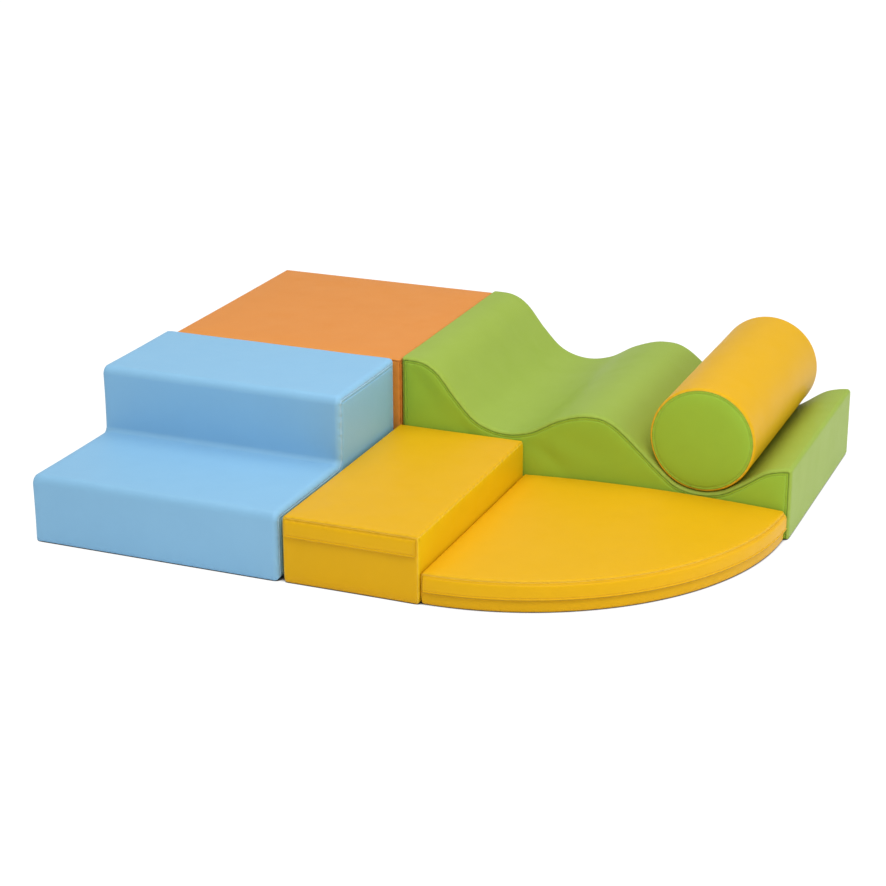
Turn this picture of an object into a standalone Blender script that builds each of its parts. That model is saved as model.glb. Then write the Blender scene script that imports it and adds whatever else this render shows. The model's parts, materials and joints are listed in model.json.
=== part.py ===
"""Soft play climber: foam modules in sewn leatherette covers, set out as one course.

A two-step unit and a square platform lead to a wave of two hills. A roller lies in the
wave's second hollow. A low pad and a quarter-round mat stand in front of it.
X runs along the wave, Y from the front row to the back row and Z up. Lengths are metres.

Each module is one soft form: a rounded outline carried along an axis, with rounded ends,
crowned faces and seams that are drawn in. The cover's panels are cut from that form along
their seams and given a thickness inwards, and the foam is the same form made smaller.
"""

import math

import bmesh
import bpy
from mathutils import Matrix, Vector

# Cover
COVER = 0.0012
FOAM_GAP = 0.0003
SEAM_GAP = 0.0003
EDGE_SEAM_SHARE = 0.65
FACE_SEAM_SHARE = 0.06
SOLE_TILT = math.radians(8)
SOLE_RIM = 0.0003

# Soft shape
CROWN = 0.0022
CROWN_REACH = 0.022
SEAM_DRAW = 0.0012
FACE_CROWN = 0.0022
FACE_REACH = 0.034
TOP_CROWN = 0.0025
TOP_REACH = 0.070
EDGE_ROUND = 0.0065
FACE_ROUND = 0.0080
LEAST_ROUND = 0.0003
SOLE_ROUND = 0.0060
CORNER_ROUND = 0.0065
ARC_SPAN = 0.018
EDGE_STEPS = 2

# Set-out
MODULE_GAP = 0.0006
BACK_DEPTH = 0.584

# Platform block
BLOCK_WIDTH = 0.573
BLOCK_HEIGHT = 0.300

# Step unit
STAIR_WIDTH = 0.580
STAIR_DEPTH = 0.600
STAIR_HEIGHT = 0.300
STEP_HEIGHT = 0.150
STEP_TREAD = 0.305
STAIR_SHIFT = 0.015
NOSE_ROUND = 0.020
FOLD_ROUND = 0.012

# Wave: places along it as shares of its length, heights as shares of its first crest
WAVE_LENGTH = 0.897
WAVE_HEIGHT = 0.304
HILL_SHARES = (
    (0.058, 0.990),
    (0.103, 0.912),
    (0.152, 0.736),
    (0.206, 0.584),
    (0.273, 0.528),
    (0.342, 0.563),
    (0.413, 0.677),
    (0.490, 0.740),
    (0.563, 0.692),
    (0.672, 0.414),
)
TAIL_SHARES = (
    (0.881, 0.382),
    (0.930, 0.474),
)
TAIL_HEIGHT = 0.158
FACE_LINE_SHARES = (0.16, 0.38, 0.62)
SEAT_PLACE = 0.698
SEAT_LOW = 0.0820
SEAT_EASE = 0.0155
SEAT_HALF_ANGLE = math.radians(26)
SEAT_STEPS = 6
CURVE_STEPS = 2

# Roller
ROLLER_RADIUS = 0.1165
ROLLER_SIDES = 30
ROLLER_CLEARANCE = 0.0005
ROLLER_ROUND = 0.008
ROLLER_CROWN = 0.0010
DISC_CROWN = 0.004
DISC_REACH = 0.030
DISC_SEAM_ANGLE = math.radians(28)

# Pad
PAD_WIDTH = 0.297
PAD_DEPTH = 0.5980
PAD_HEIGHT = 0.150
PAD_PLACE = -0.001

# Quarter-round mat
MAT_SETBACK = 0.006
MAT_HEIGHT = 0.072
MAT_STEPS = 18
MAT_SWELL = 0.010

# Zips
TAPE = 0.0008
TAPE_HALF = 0.009
CHAIN_HALF = 0.0030
CHAIN_TOP_HALF = 0.0024
CHAIN_PROUD = 0.0002
SLOT_HALF = 0.0054
ZIP_END = 0.0010
ZIP_LENGTH = 0.460
PAD_ZIP_MARGIN = 0.020
MAT_ZIP_SKIP = 2
ROLLER_ZIP_MARGIN = 0.0025
ROLLER_ZIP_START = math.radians(262)
ROLLER_ZIP_END = math.radians(472)
ROLLER_ZIP_STEPS = 18
WAVE_ZIP_HEIGHT = 0.058
WAVE_ZIP_PLACE = 0.080

# Zip slider and pull
SLIDER_LENGTH = 0.010
SLIDER_HALF = 0.0047
SLIDER_LIP = 0.0011
SLIDER_PLATE = 0.0010
SLIDER_CLEARANCE = 0.0004
SLIDER_LIP_DEPTH = 0.0008
SLIDER_MARGIN = 0.004
BAIL_INNER = 0.0017
BAIL_WIRE = 0.0007
BAIL_HALF = 0.0012
BAIL_STEPS = 6
PULL_THICKNESS = 0.0008
PULL_CLEARANCE = 0.00031
PULL_LENGTH = 0.024
PULL_HALF = 0.0036
PULL_WINDOW = 0.0042
PULL_WINDOW_HALF = 0.0018
PULL_TIP_ROUND = 0.0020

# Flaps over the two front zips
FLAP_DROP = 0.0080
FLAP_STAND = 0.0062
FLAP_SHARES = ((0.0, 0.0), (0.16, 0.72), (0.38, 1.0), (0.74, 0.98), (1.0, 0.70))
ZIP_UNDER_FLAP_SHARE = 0.55
PAD_FLAP_HEIGHT = 0.038
PAD_FLAP_MARGIN = 0.004
MAT_FLAP_HEIGHT = 0.035
MAT_FLAP_MARGIN = 0.018

# Small tolerances of the meshing itself
MERGE = 0.000001
SMOOTH_ANGLE = math.radians(40)
OVERRUN = 0.004

# Derived places
COURSE_LEFT = -(STAIR_SHIFT + STAIR_WIDTH)
COURSE_RIGHT = MODULE_GAP / 2 + WAVE_LENGTH
COURSE_FRONT = -(MODULE_GAP / 2 + PAD_DEPTH + FLAP_STAND)
COURSE_BACK = MODULE_GAP / 2 + BACK_DEPTH
MIDDLE = Vector(((COURSE_LEFT + COURSE_RIGHT) / 2, (COURSE_FRONT + COURSE_BACK) / 2, 0))
ROLLER_LENGTH = BACK_DEPTH
ROLLER_HEIGHT = SEAT_LOW + ROLLER_CLEARANCE + ROLLER_RADIUS
TAPE_FRONT = -(COVER + FOAM_GAP)
TAPE_BACK = TAPE_FRONT - TAPE
RECESS_BACK = TAPE_BACK - FOAM_GAP
SLIDER_LOW = CHAIN_PROUD + SLIDER_CLEARANCE
SLIDER_TOP = SLIDER_LOW + SLIDER_PLATE
PULL_AXIS = SLIDER_TOP + PULL_CLEARANCE + PULL_THICKNESS * math.sqrt(0.5)
PAD_ZIP_DROP = FLAP_DROP + PAD_FLAP_HEIGHT * ZIP_UNDER_FLAP_SHARE
MAT_ZIP_DROP = FLAP_DROP + MAT_FLAP_HEIGHT * ZIP_UNDER_FLAP_SHARE
ROLLER_ZIP_RADIUS = ROLLER_RADIUS - ROLLER_ROUND - DISC_REACH - ROLLER_ZIP_MARGIN - TAPE_HALF
MAT_RADIUS = PAD_DEPTH - MAT_SETBACK
MAT_STEP = math.pi / 2 / MAT_STEPS

COLOURS = {
    "sky_blue": (0.36, 0.62, 0.86),
    "orange": (0.87, 0.36, 0.10),
    "leaf_green": (0.36, 0.52, 0.09),
    "yellow": (0.85, 0.52, 0.03),
    "sole_black": (0.03, 0.03, 0.035),
    "foam_cream": (0.78, 0.73, 0.56),
    "zip_tape": (0.08, 0.08, 0.09),
    "zip_metal": (0.62, 0.63, 0.65),
}
ROUGHNESS = {"sole_black": 0.85, "foam_cream": 0.95, "zip_tape": 0.7, "zip_metal": 0.35}
COVER_ROUGHNESS = 0.48
METAL_SHADES = {"zip_metal"}
SWOLLEN = {"mat_foam", "mat_top", "mat_back", "mat_rim", "mat_left"}


def clear_scene():
    for item in list(bpy.data.objects):
        bpy.data.objects.remove(item)


def new_collection(name):
    collection = bpy.data.collections.new(name)
    bpy.context.scene.collection.children.link(collection)
    return collection


def new_material(name):
    material = bpy.data.materials.new(name)
    material.use_nodes = True
    shader = material.node_tree.nodes["Principled BSDF"]
    shader.inputs["Base Color"].default_value = (*COLOURS[name], 1)
    shader.inputs["Roughness"].default_value = ROUGHNESS.get(name, COVER_ROUGHNESS)
    shader.inputs["Metallic"].default_value = 1 if name in METAL_SHADES else 0
    material.diffuse_color = (*COLOURS[name], 1)
    return material


def new_empty(name, place, parent=None):
    empty = bpy.data.objects.new(name, None)
    empty.location = place
    empty.parent = parent
    PARTS.objects.link(empty)
    return empty


def new_part(name, mesh, shade, parent, place=(0, 0, 0), turn=None):
    """An object of the climber, placed in its module's frame."""
    part = bpy.data.objects.new(name, mesh)
    part.parent = parent
    part.location = place
    if turn is not None:
        part.rotation_euler = turn.to_euler()
    if not mesh.materials:
        mesh.materials.append(MATERIALS[shade])
    PARTS.objects.link(part)
    return part


def mesh_from(name, bm):
    mesh = bpy.data.meshes.new(name)
    bm.to_mesh(mesh)
    bm.free()
    mesh.shade_smooth()
    mesh.set_sharp_from_angle(angle=SMOOTH_ANGLE)
    return mesh


def add_shell(part, thickness, side=-1):
    solidify = part.modifiers.new("Shell", "SOLIDIFY")
    solidify.thickness = thickness
    solidify.offset = side
    solidify.use_even_offset = True
    return part


def add_cutter(name, bm, parent):
    cutter = bpy.data.objects.new(name, mesh_from(name, bm))
    cutter.parent = parent
    cutter.hide_render = True
    cutter.display_type = "WIRE"
    CUTTERS.objects.link(cutter)
    return cutter


def cut_away(part, cutter):
    boolean = part.modifiers.new("Cut", "BOOLEAN")
    boolean.operation = "DIFFERENCE"
    boolean.object = cutter


# Outlines


def side_of(p, q):
    """Direction of an outline's side and the normal that points into the outline."""
    along = (q - p).normalized()
    return along, Vector((-along.y, along.x))


def outline_ring(corners, inset, draw=0):
    """Points of a rounded outline, moved inwards; draw pulls the sides' middles in further.

    A corner is its place, its radius and the number of points on the side after it.
    """
    moved = []
    for i, (spot, radius, cuts) in enumerate(corners):
        before, after = corners[i - 1][0], corners[(i + 1) % len(corners)][0]
        along_in, normal_in = side_of(before, spot)
        along_out, normal_out = side_of(spot, after)
        shift = (normal_in + normal_out) / (1 + normal_in.dot(normal_out)) * inset
        turn = math.atan2(along_in.cross(along_out), along_in.dot(along_out))
        bend = max(radius - inset, LEAST_ROUND) if turn > 0 else radius + inset
        steps = 2 * round(abs(turn) * radius / ARC_SPAN) + 1
        arc = (spot + shift, bend if radius else 0, turn, along_in, along_out, steps)
        moved.append((arc, cuts))
    arcs = [corner_arc(*arc) for arc, cuts in moved]
    ring = []
    for i, arc in enumerate(arcs):
        ring += arc
        start, end = arc[-1], arcs[(i + 1) % len(arcs)][0]
        cuts = moved[i][1]
        normal = side_of(start, end)[1] if cuts else None
        for k in range(1, cuts + 1):
            share = k / (cuts + 1)
            ring.append(start.lerp(end, share) + normal * draw * 4 * share * (1 - share))
    return ring


def corner_arc(spot, radius, turn, along_in, along_out, steps):
    if not radius:
        return [spot]
    reach = radius * math.tan(abs(turn) / 2)
    start = spot - along_in * reach
    hand = math.copysign(1, turn)
    middle = start + Vector((-along_in.y, along_in.x)) * radius * hand
    spoke = start - middle
    arc = []
    for k in range(steps + 1):
        angle = turn * k / steps
        turned = Vector((
            spoke.x * math.cos(angle) - spoke.y * math.sin(angle),
            spoke.x * math.sin(angle) + spoke.y * math.cos(angle),
        ))
        arc.append(middle + turned)
    return arc


def box_corners(width, depth, radius, cuts):
    places = ((0, 0), (width, 0), (width, depth), (0, depth))
    return [(Vector(place), radius, cuts) for place in places]


def smooth_curve(points, steps):
    """A curve through the points, from the neighbours' slopes at each of them."""
    path = []
    for i in range(len(points) - 1):
        before = points[max(i - 1, 0)]
        start, end = points[i], points[i + 1]
        after = points[min(i + 2, len(points) - 1)]
        for k in range(steps):
            t = k / steps
            leave, arrive = (end - before) / 2, (after - start) / 2
            path.append(
                start * (2 * t**3 - 3 * t**2 + 1)
                + leave * (t**3 - 2 * t**2 + t)
                + end * (3 * t**2 - 2 * t**3)
                + arrive * (t**3 - t**2)
            )
    path.append(points[-1])
    return path


# Soft forms


def crown_drop(distance, crown, reach):
    """How far a crowned face lies behind its own middle at a distance from its edge."""
    return crown * max(0, 1 - distance / reach) ** 2


def form_levels(length, rounds, crowns, reach, cap_rings):
    """Places along the axis and the inset there: crowned ends, rounds, rings between."""
    foot = [(crown_drop(d, crowns[0], cap_rings[-1]), rounds[0] + d) for d in reversed(cap_rings)]
    head = [(length - crown_drop(d, crowns[1], cap_rings[-1]), rounds[1] + d) for d in cap_rings]
    levels = foot
    for k in range(EDGE_STEPS + 1):
        angle = math.pi / 2 * k / EDGE_STEPS
        place = crowns[0] + rounds[0] * (1 - math.cos(angle))
        levels.append((place, rounds[0] * (1 - math.sin(angle))))
    levels += [(reach, 0), (length - reach, 0)]
    for k in range(EDGE_STEPS, -1, -1):
        angle = math.pi / 2 * k / EDGE_STEPS
        place = length - crowns[1] - rounds[1] * (1 - math.cos(angle))
        levels.append((place, rounds[1] * (1 - math.sin(angle))))
    return levels + head


def edge_distance(point, ring):
    nearest = math.inf
    for i, end in enumerate(ring):
        start = ring[i - 1]
        side = end - start
        share = min(max((point - start).dot(side) / side.length_squared, 0), 1)
        nearest = min(nearest, (point - start - side * share).length)
    return nearest


def crown_cap(bm, face, ring, lines, crown, reach, way):
    """Divides a form's end by straight lines and lifts what lies inside its edge."""
    geometry = [face, *face.edges, *face.verts]
    for axis, places in enumerate(lines):
        normal = Vector((axis == 0, axis == 1, 0))
        for place in places:
            cut = bmesh.ops.bisect_plane(
                bm, geom=geometry, dist=MERGE, plane_co=normal * place, plane_no=normal
            )
            geometry = cut["geom"]
    for vert in {v for v in geometry if isinstance(v, bmesh.types.BMVert)}:
        distance = edge_distance(vert.co.xy, ring)
        vert.co.z += way * (crown - crown_drop(distance, crown, reach))


def soft_form(corners, length, place, **shape):
    """A closed form in its module's frame: rings of the outline, capped and crowned."""
    rounds = shape.get("rounds", (SOLE_ROUND, EDGE_ROUND))
    crowns = shape.get("crowns", (0, TOP_CROWN))
    cap_reach = shape.get("cap_reach", TOP_REACH)
    side_crown = shape.get("side_crown", CROWN)
    cap_rings = shape.get("cap_rings", ())
    floor = shape.get("floor")
    bm = bmesh.new()
    rings, outlines = [], []
    for level, inset in form_levels(length, rounds, crowns, CROWN_REACH, cap_rings):
        drop = crown_drop(min(level, length - level), side_crown, CROWN_REACH)
        draw = shape.get("draw", SEAM_DRAW) * drop / side_crown
        ring = outline_ring(corners, inset + drop, draw)
        if floor:
            ring = [Vector((p.x, p.y - (drop + draw) * max(0, 1 - p.y / floor))) for p in ring]
            ring = [Vector((p.x, max(p.y, inset))) for p in ring]
        outlines.append(ring)
        rings.append([bm.verts.new((p.x, p.y, level)) for p in ring])
    for low, high in zip(rings, rings[1:]):
        for i in range(len(low)):
            bm.faces.new((low[i - 1], low[i], high[i], high[i - 1]))
    foot = bm.faces.new(list(reversed(rings[0])))
    head = bm.faces.new(rings[-1])
    lines = shape.get("lines")
    if lines and crowns[0]:
        crown_cap(bm, foot, outlines[0], lines, crowns[0], cap_reach, -1)
    if lines and crowns[1]:
        crown_cap(bm, head, outlines[-1], lines, crowns[1], cap_reach, 1)
    bmesh.ops.transform(bm, matrix=place, verts=bm.verts)
    bmesh.ops.dissolve_degenerate(bm, dist=MERGE, edges=bm.edges)
    bmesh.ops.triangulate(bm, faces=bm.faces)
    bmesh.ops.recalc_face_normals(bm, faces=bm.faces)
    return bm


def box_lines(width, depth, reach):
    near = reach / 2
    return tuple((near, reach, side - reach, side - near) for side in (width, depth))


def frame_of(along_a, along_b, origin):
    """Matrix from an outline's plane and axis to the module's frame."""
    a, b = Vector(along_a), Vector(along_b)
    rows = Matrix((a, b, a.cross(b))).transposed().to_4x4()
    rows.translation = Vector(origin)
    return rows


# Pieces cut from a form


def panel(name, form, shade, parent, cuts, window=None):
    """The part of a form's skin that the cutting planes leave, as a sheet."""
    bm = form.copy()
    for point, normal in cuts:
        geometry = [*bm.verts, *bm.edges, *bm.faces]
        bmesh.ops.bisect_plane(
            bm, geom=geometry, dist=MERGE, plane_co=point, plane_no=normal, clear_outer=True
        )
    if window:
        cut_window(bm, window)
    return add_shell(new_part(name, mesh_from(name, bm), shade, parent), COVER)


def beyond(point, plane):
    return (point - Vector(plane[0])).dot(Vector(plane[1])) > 0


def cut_window(bm, planes):
    """Takes out the skin that lies inside all the planes; the first faces the skin."""
    for plane in planes[1:]:
        faces = [f for f in bm.faces if not beyond(f.calc_center_median(), planes[0])]
        edges = {e for f in faces for e in f.edges}
        verts = {v for f in faces for v in f.verts}
        bmesh.ops.bisect_plane(
            bm, geom=[*verts, *edges, *faces], dist=MERGE, plane_co=plane[0], plane_no=plane[1]
        )
    inside = [
        f for f in bm.faces if not any(beyond(f.calc_center_median(), plane) for plane in planes)
    ]
    bmesh.ops.delete(bm, geom=inside, context="FACES")


def foam(name, form, parent, cutter=None, cuts=()):
    """The form made smaller by the cover and its gap, and cut where the zip lies."""
    bm = form.copy()
    bm.normal_update()
    moves = [v.normal * v.calc_shell_factor() * (COVER + FOAM_GAP) for v in bm.verts]
    for vert, move in zip(bm.verts, moves):
        vert.co -= move
    for point, normal in cuts:
        geometry = [*bm.verts, *bm.edges, *bm.faces]
        cut = bmesh.ops.bisect_plane(
            bm, geom=geometry, dist=MERGE, plane_co=point, plane_no=normal, clear_outer=True
        )
        rim = [e for e in cut["geom_cut"] if isinstance(e, bmesh.types.BMEdge)]
        bmesh.ops.contextual_create(bm, geom=rim)
    part = new_part(name, mesh_from(name, bm), "foam_cream", parent)
    if cutter:
        cut_away(part, cutter)
    return part


def shift(axis, place, way):
    """A plane square to an axis that keeps what lies against its way."""
    point, normal = [0, 0, 0], [0, 0, 0]
    point[axis] = place - way * SEAM_GAP / 2
    normal[axis] = way
    return point, normal


def mitre(corner, away):
    """A plane through an upright corner, leaning away from the kept side."""
    normal = Vector((*away, 0)).normalized()
    return Vector((*corner, 0)) - normal * SEAM_GAP / 2, normal


def sole(name, form, parent):
    """The flat of a form's underside, in the cloth that grips the floor."""
    bm = form.copy()
    raised = [f for f in bm.faces if f.normal.z > -math.cos(SOLE_TILT)]
    bmesh.ops.delete(bm, geom=raised, context="FACES")
    return add_shell(new_part(name, mesh_from(name, bm), "sole_black", parent), COVER)


def box_cover(name, form, shade, parent, size, windows):
    """Top and four upright sides of a box-shaped cover, sewn along its edges."""
    width, depth, height = size
    seam = height - TOP_CROWN - EDGE_ROUND * EDGE_SEAM_SHARE
    panel(name + "_top", form, shade, parent, [shift(2, seam, -1)])
    middle_x, middle_y = width / 2, depth / 2
    corners = {
        "front": (shift(1, middle_y, 1), ((0, 0), (-1, 1)), ((width, 0), (1, 1))),
        "back": (shift(1, middle_y, -1), ((0, depth), (-1, -1)), ((width, depth), (1, -1))),
        "left": (shift(0, middle_x, 1), ((0, 0), (1, -1)), ((0, depth), (1, 1))),
        "right": (shift(0, middle_x, -1), ((width, 0), (-1, -1)), ((width, depth), (-1, 1))),
    }
    for side, (half, *ends) in corners.items():
        cuts = [half, shift(2, seam, 1), shift(2, SOLE_RIM, -1)] + [mitre(*end) for end in ends]
        panel(f"{name}_{side}", form, shade, parent, cuts, windows.get(side))


# Zips


def zip_section():
    """Tape with the closed chain along its middle: outward reach and height."""
    half = [
        (TAPE_FRONT, TAPE_HALF),
        (TAPE_FRONT, CHAIN_HALF),
        (CHAIN_PROUD, CHAIN_TOP_HALF),
    ]
    mirrored = [(reach, -height) for reach, height in reversed(half)]
    return [(TAPE_BACK, -TAPE_HALF), (TAPE_BACK, TAPE_HALF), *half, *mirrored]


def recess_section():
    half = TAPE_HALF + FOAM_GAP
    return [(RECESS_BACK, -half), (RECESS_BACK, half), (OVERRUN, half), (OVERRUN, -half)]


def slot_section():
    back = TAPE_FRONT - OVERRUN
    return [(back, -SLOT_HALF), (back, SLOT_HALF), (OVERRUN, SLOT_HALF), (OVERRUN, -SLOT_HALF)]


def straight_bar(section, start, along, out, up, length):
    """A section carried in a straight line; out and up are its two directions."""
    bm = bmesh.new()
    verts = [bm.verts.new(start + out * reach + up * height) for reach, height in section]
    face = bm.faces.new(verts)
    grown = bmesh.ops.extrude_face_region(bm, geom=[face])
    tips = [v for v in grown["geom"] if isinstance(v, bmesh.types.BMVert)]
    bmesh.ops.translate(bm, verts=tips, vec=along * length)
    bmesh.ops.recalc_face_normals(bm, faces=bm.faces)
    return bm


def arc_bar(section, path, trim=0):
    """A section carried round an axis along a path: place, centre, axis, start, end, steps."""
    place, centre, axis, start, end, steps = path
    bm = bmesh.new()
    verts = [bm.verts.new(place(start + trim, reach, height)) for reach, height in section]
    face = bm.faces.new(verts)
    turn = end - start - 2 * trim
    bmesh.ops.spin(bm, geom=[face], cent=centre, axis=axis, angle=turn, steps=steps, use_merge=False)
    bmesh.ops.recalc_face_normals(bm, faces=bm.faces)
    return bm


def slider_mesh():
    """Zip slider: a plate with lips beside the chain and a bail over its middle."""
    inner = SLIDER_HALF - SLIDER_LIP
    half = [
        (SLIDER_TOP, SLIDER_HALF),
        (-SLIDER_LIP_DEPTH, SLIDER_HALF),
        (-SLIDER_LIP_DEPTH, inner),
        (SLIDER_LOW, inner),
    ]
    section = half + [(reach, -height) for reach, height in reversed(half)]
    start = Vector((-SLIDER_LENGTH / 2, 0, 0))
    axes = (Vector((1, 0, 0)), Vector((0, 0, 1)), Vector((0, 1, 0)))
    plate = straight_bar(section, start, axes[0], axes[1], axes[2], SLIDER_LENGTH)
    body = new_part("slider_body", mesh_from("slider", plate), "zip_metal", None)
    bail = bpy.data.objects.new("slider_bail", mesh_from("bail", bail_arch()))
    CUTTERS.objects.link(bail)
    union = body.modifiers.new("Bail", "BOOLEAN")
    union.operation = "UNION"
    union.object = bail
    bpy.context.view_layer.update()
    graph = bpy.context.evaluated_depsgraph_get()
    mesh = bpy.data.meshes.new_from_object(body.evaluated_get(graph))
    bpy.data.objects.remove(body)
    bpy.data.objects.remove(bail)
    return mesh


def bail_arch():
    """Half ring along the slider that the pull hangs in, sunk a little into the plate."""
    outer = BAIL_INNER + BAIL_WIRE
    angles = [math.pi * k / BAIL_STEPS for k in range(BAIL_STEPS + 1)]
    ring = [(outer * math.cos(a), outer * math.sin(a)) for a in angles]
    ring.append((-outer, -SLIDER_PLATE / 2))
    ring.append((-BAIL_INNER, -SLIDER_PLATE / 2))
    ring += [(BAIL_INNER * math.cos(a), BAIL_INNER * math.sin(a)) for a in reversed(angles)]
    ring.append((BAIL_INNER, -SLIDER_PLATE / 2))
    ring.append((outer, -SLIDER_PLATE / 2))
    section = [(rise, along) for along, rise in ring]
    start = Vector((0, -BAIL_HALF, SLIDER_TOP))
    across, out, up = Vector((0, 1, 0)), Vector((0, 0, 1)), Vector((1, 0, 0))
    return straight_bar(section, start, across, out, up, 2 * BAIL_HALF)


def pull_mesh():
    """Pull tab with the window that lets it turn round the bail; its bar is the axis."""
    bar = PULL_THICKNESS / 2
    stops_x = (-bar, bar, PULL_WINDOW, PULL_LENGTH)
    stops_y = (-PULL_HALF, -PULL_WINDOW_HALF, PULL_WINDOW_HALF, PULL_HALF)
    bm = bmesh.new()
    rows = [[bm.verts.new((x, y, 0)) for y in stops_y] for x in stops_x]
    for i in range(3):
        for j in range(3):
            if (i, j) != (1, 1):
                bm.faces.new((rows[i][j], rows[i + 1][j], rows[i + 1][j + 1], rows[i][j + 1]))
    tips = [rows[-1][0], rows[-1][-1]]
    bmesh.ops.bevel(
        bm, geom=tips, offset=PULL_TIP_ROUND, segments=2, affect="VERTICES", profile=0.5
    )
    return mesh_from("pull", bm)


def add_slider(name, parent, spot, along, out, tab_way=1):
    """Slider and pull of one zip: x of their meshes runs along the zip, z outwards."""
    turn = Matrix((along, out.cross(along), out)).transposed()
    new_part(name + "_slider", SLIDER, "zip_metal", parent, spot, turn)
    flip = Matrix((along * tab_way, out.cross(along) * tab_way, out)).transposed()
    place = spot + out * PULL_AXIS
    pull = new_part(name + "_pull", PULL, "zip_metal", parent, place, flip)
    return add_shell(pull, PULL_THICKNESS, 0)


def straight_zip(name, parent, start, along, out, length):
    """Zip in a flat face: returns the foam's recess; the slider parks at the start."""
    up = along.cross(out)
    tape = straight_bar(zip_section(), start, along, out, up, length)
    new_part(name + "_zip", mesh_from(name + "_zip", tape), "zip_tape", parent)
    run = length + 2 * ZIP_END
    recess = straight_bar(recess_section(), start - along * ZIP_END, along, out, up, run)
    return add_cutter(name + "_zip_recess", recess, parent)


def arc_zip(name, parent, path, radius):
    """Zip carried round an axis: makes its tape, returns cutters for the foam and the panel."""
    tape = arc_bar(zip_section(), path, ZIP_END / radius)
    new_part(name + "_zip", mesh_from(name + "_zip", tape), "zip_tape", parent)
    recess = add_cutter(name + "_zip_recess", arc_bar(recess_section(), path), parent)
    return recess, add_cutter(name + "_zip_slot", arc_bar(slot_section(), path), parent)


def slot_planes(start, along, out, length, depth):
    """Planes round a straight zip's slot; the first lies behind the panel's face."""
    up = along.cross(out)
    middle = start + along * length / 2
    return [
        (start - out * depth, -out),
        (middle + up * SLOT_HALF, up),
        (middle - up * SLOT_HALF, -up),
        (start - along * ZIP_END, -along),
        (start + along * (length + ZIP_END), along),
    ]


# Flaps


def flap_line(face_drop, height):
    """Outer line of a flap from its sewn edge down: outward reach and drop."""
    top = COVER + FOAM_GAP - face_drop
    return [(top + (FLAP_STAND - top) * bulge, -height * down) for down, bulge in FLAP_SHARES]


# Modules


def build_block():
    place = Vector((-MODULE_GAP / 2 - BLOCK_WIDTH, MODULE_GAP / 2, 0)) - MIDDLE
    home = new_empty("block_frame", place)
    size = (BLOCK_WIDTH, BACK_DEPTH, BLOCK_HEIGHT)
    form = soft_form(
        box_corners(BLOCK_WIDTH, BACK_DEPTH, CORNER_ROUND, 1),
        BLOCK_HEIGHT,
        Matrix.Identity(4),
        lines=box_lines(BLOCK_WIDTH, BACK_DEPTH, TOP_REACH),
    )
    along, out = Vector((-1, 0, 0)), Vector((0, 1, 0))
    start = Vector(((BLOCK_WIDTH + ZIP_LENGTH) / 2, BACK_DEPTH, BLOCK_HEIGHT / 2))
    recess = straight_zip("block", home, start, along, out, ZIP_LENGTH)
    slot = slot_planes(start, along, out, ZIP_LENGTH, BACK_DEPTH / 2)
    foam("block_foam", form, home, recess)
    box_cover("block", form, "orange", home, size, {"back": slot})
    sole("block_sole", form, home)
    parked = start + along * (SLIDER_MARGIN + SLIDER_LENGTH / 2)
    add_slider("block", home, parked, along, out)


def stair_corners():
    return [
        (Vector((0, 0)), CORNER_ROUND, 0),
        (Vector((STAIR_DEPTH, 0)), CORNER_ROUND, 0),
        (Vector((STAIR_DEPTH, STAIR_HEIGHT)), CORNER_ROUND, 1),
        (Vector((STEP_TREAD, STAIR_HEIGHT)), NOSE_ROUND, 1),
        (Vector((STEP_TREAD, STEP_HEIGHT)), FOLD_ROUND, 1),
        (Vector((0, STEP_HEIGHT)), NOSE_ROUND, 1),
    ]


def build_stair():
    place = Vector((COURSE_LEFT, -MODULE_GAP / 2 - STAIR_DEPTH, 0)) - MIDDLE
    home = new_empty("stair_frame", place)
    reach = FACE_REACH
    deep = (reach, STEP_TREAD - reach, STEP_TREAD + reach, STAIR_DEPTH - reach)
    high = (reach, STEP_HEIGHT - reach, STAIR_HEIGHT - reach)
    form = soft_form(
        stair_corners(),
        STAIR_WIDTH,
        frame_of((0, 1, 0), (0, 0, 1), (0, 0, 0)),
        rounds=(FACE_ROUND, FACE_ROUND),
        crowns=(FACE_CROWN, FACE_CROWN),
        cap_reach=FACE_REACH,
        floor=STAIR_HEIGHT,
        lines=(deep, high),
    )
    along, out = Vector((0, 1, 0)), Vector((-1, 0, 0))
    start = Vector((0, (STAIR_DEPTH - ZIP_LENGTH) / 2, STEP_HEIGHT / 2))
    recess = straight_zip("stair", home, start, along, out, ZIP_LENGTH)
    slot = slot_planes(start, along, out, ZIP_LENGTH, STAIR_WIDTH / 2)
    foam("stair_lower_foam", form, home, recess, [shift(2, STEP_HEIGHT, 1)])
    foam("stair_upper_foam", form, home, None, [shift(2, STEP_HEIGHT, -1)])
    seam = FACE_CROWN + FACE_ROUND * FACE_SEAM_SHARE
    foot = shift(2, SOLE_RIM, -1)
    far = STAIR_WIDTH - seam
    panel("stair_wrap", form, "sky_blue", home, [shift(0, seam, -1), shift(0, far, 1), foot])
    panel("stair_left", form, "sky_blue", home, [shift(0, seam, 1), foot], slot)
    panel("stair_right", form, "sky_blue", home, [shift(0, far, -1), foot])
    sole("stair_sole", form, home)
    parked = start + along * (SLIDER_MARGIN + SLIDER_LENGTH / 2)
    add_slider("stair", home, parked, along, out)


def seat_arc():
    """Bottom of the second hollow: a round a little wider than the roller."""
    radius = ROLLER_RADIUS + SEAT_EASE
    middle = Vector((SEAT_PLACE, SEAT_LOW + radius))
    arc = []
    for k in range(SEAT_STEPS + 1):
        angle = SEAT_HALF_ANGLE * (2 * k / SEAT_STEPS - 1)
        arc.append(middle + Vector((math.sin(angle), -math.cos(angle))) * radius)
    return arc


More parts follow.
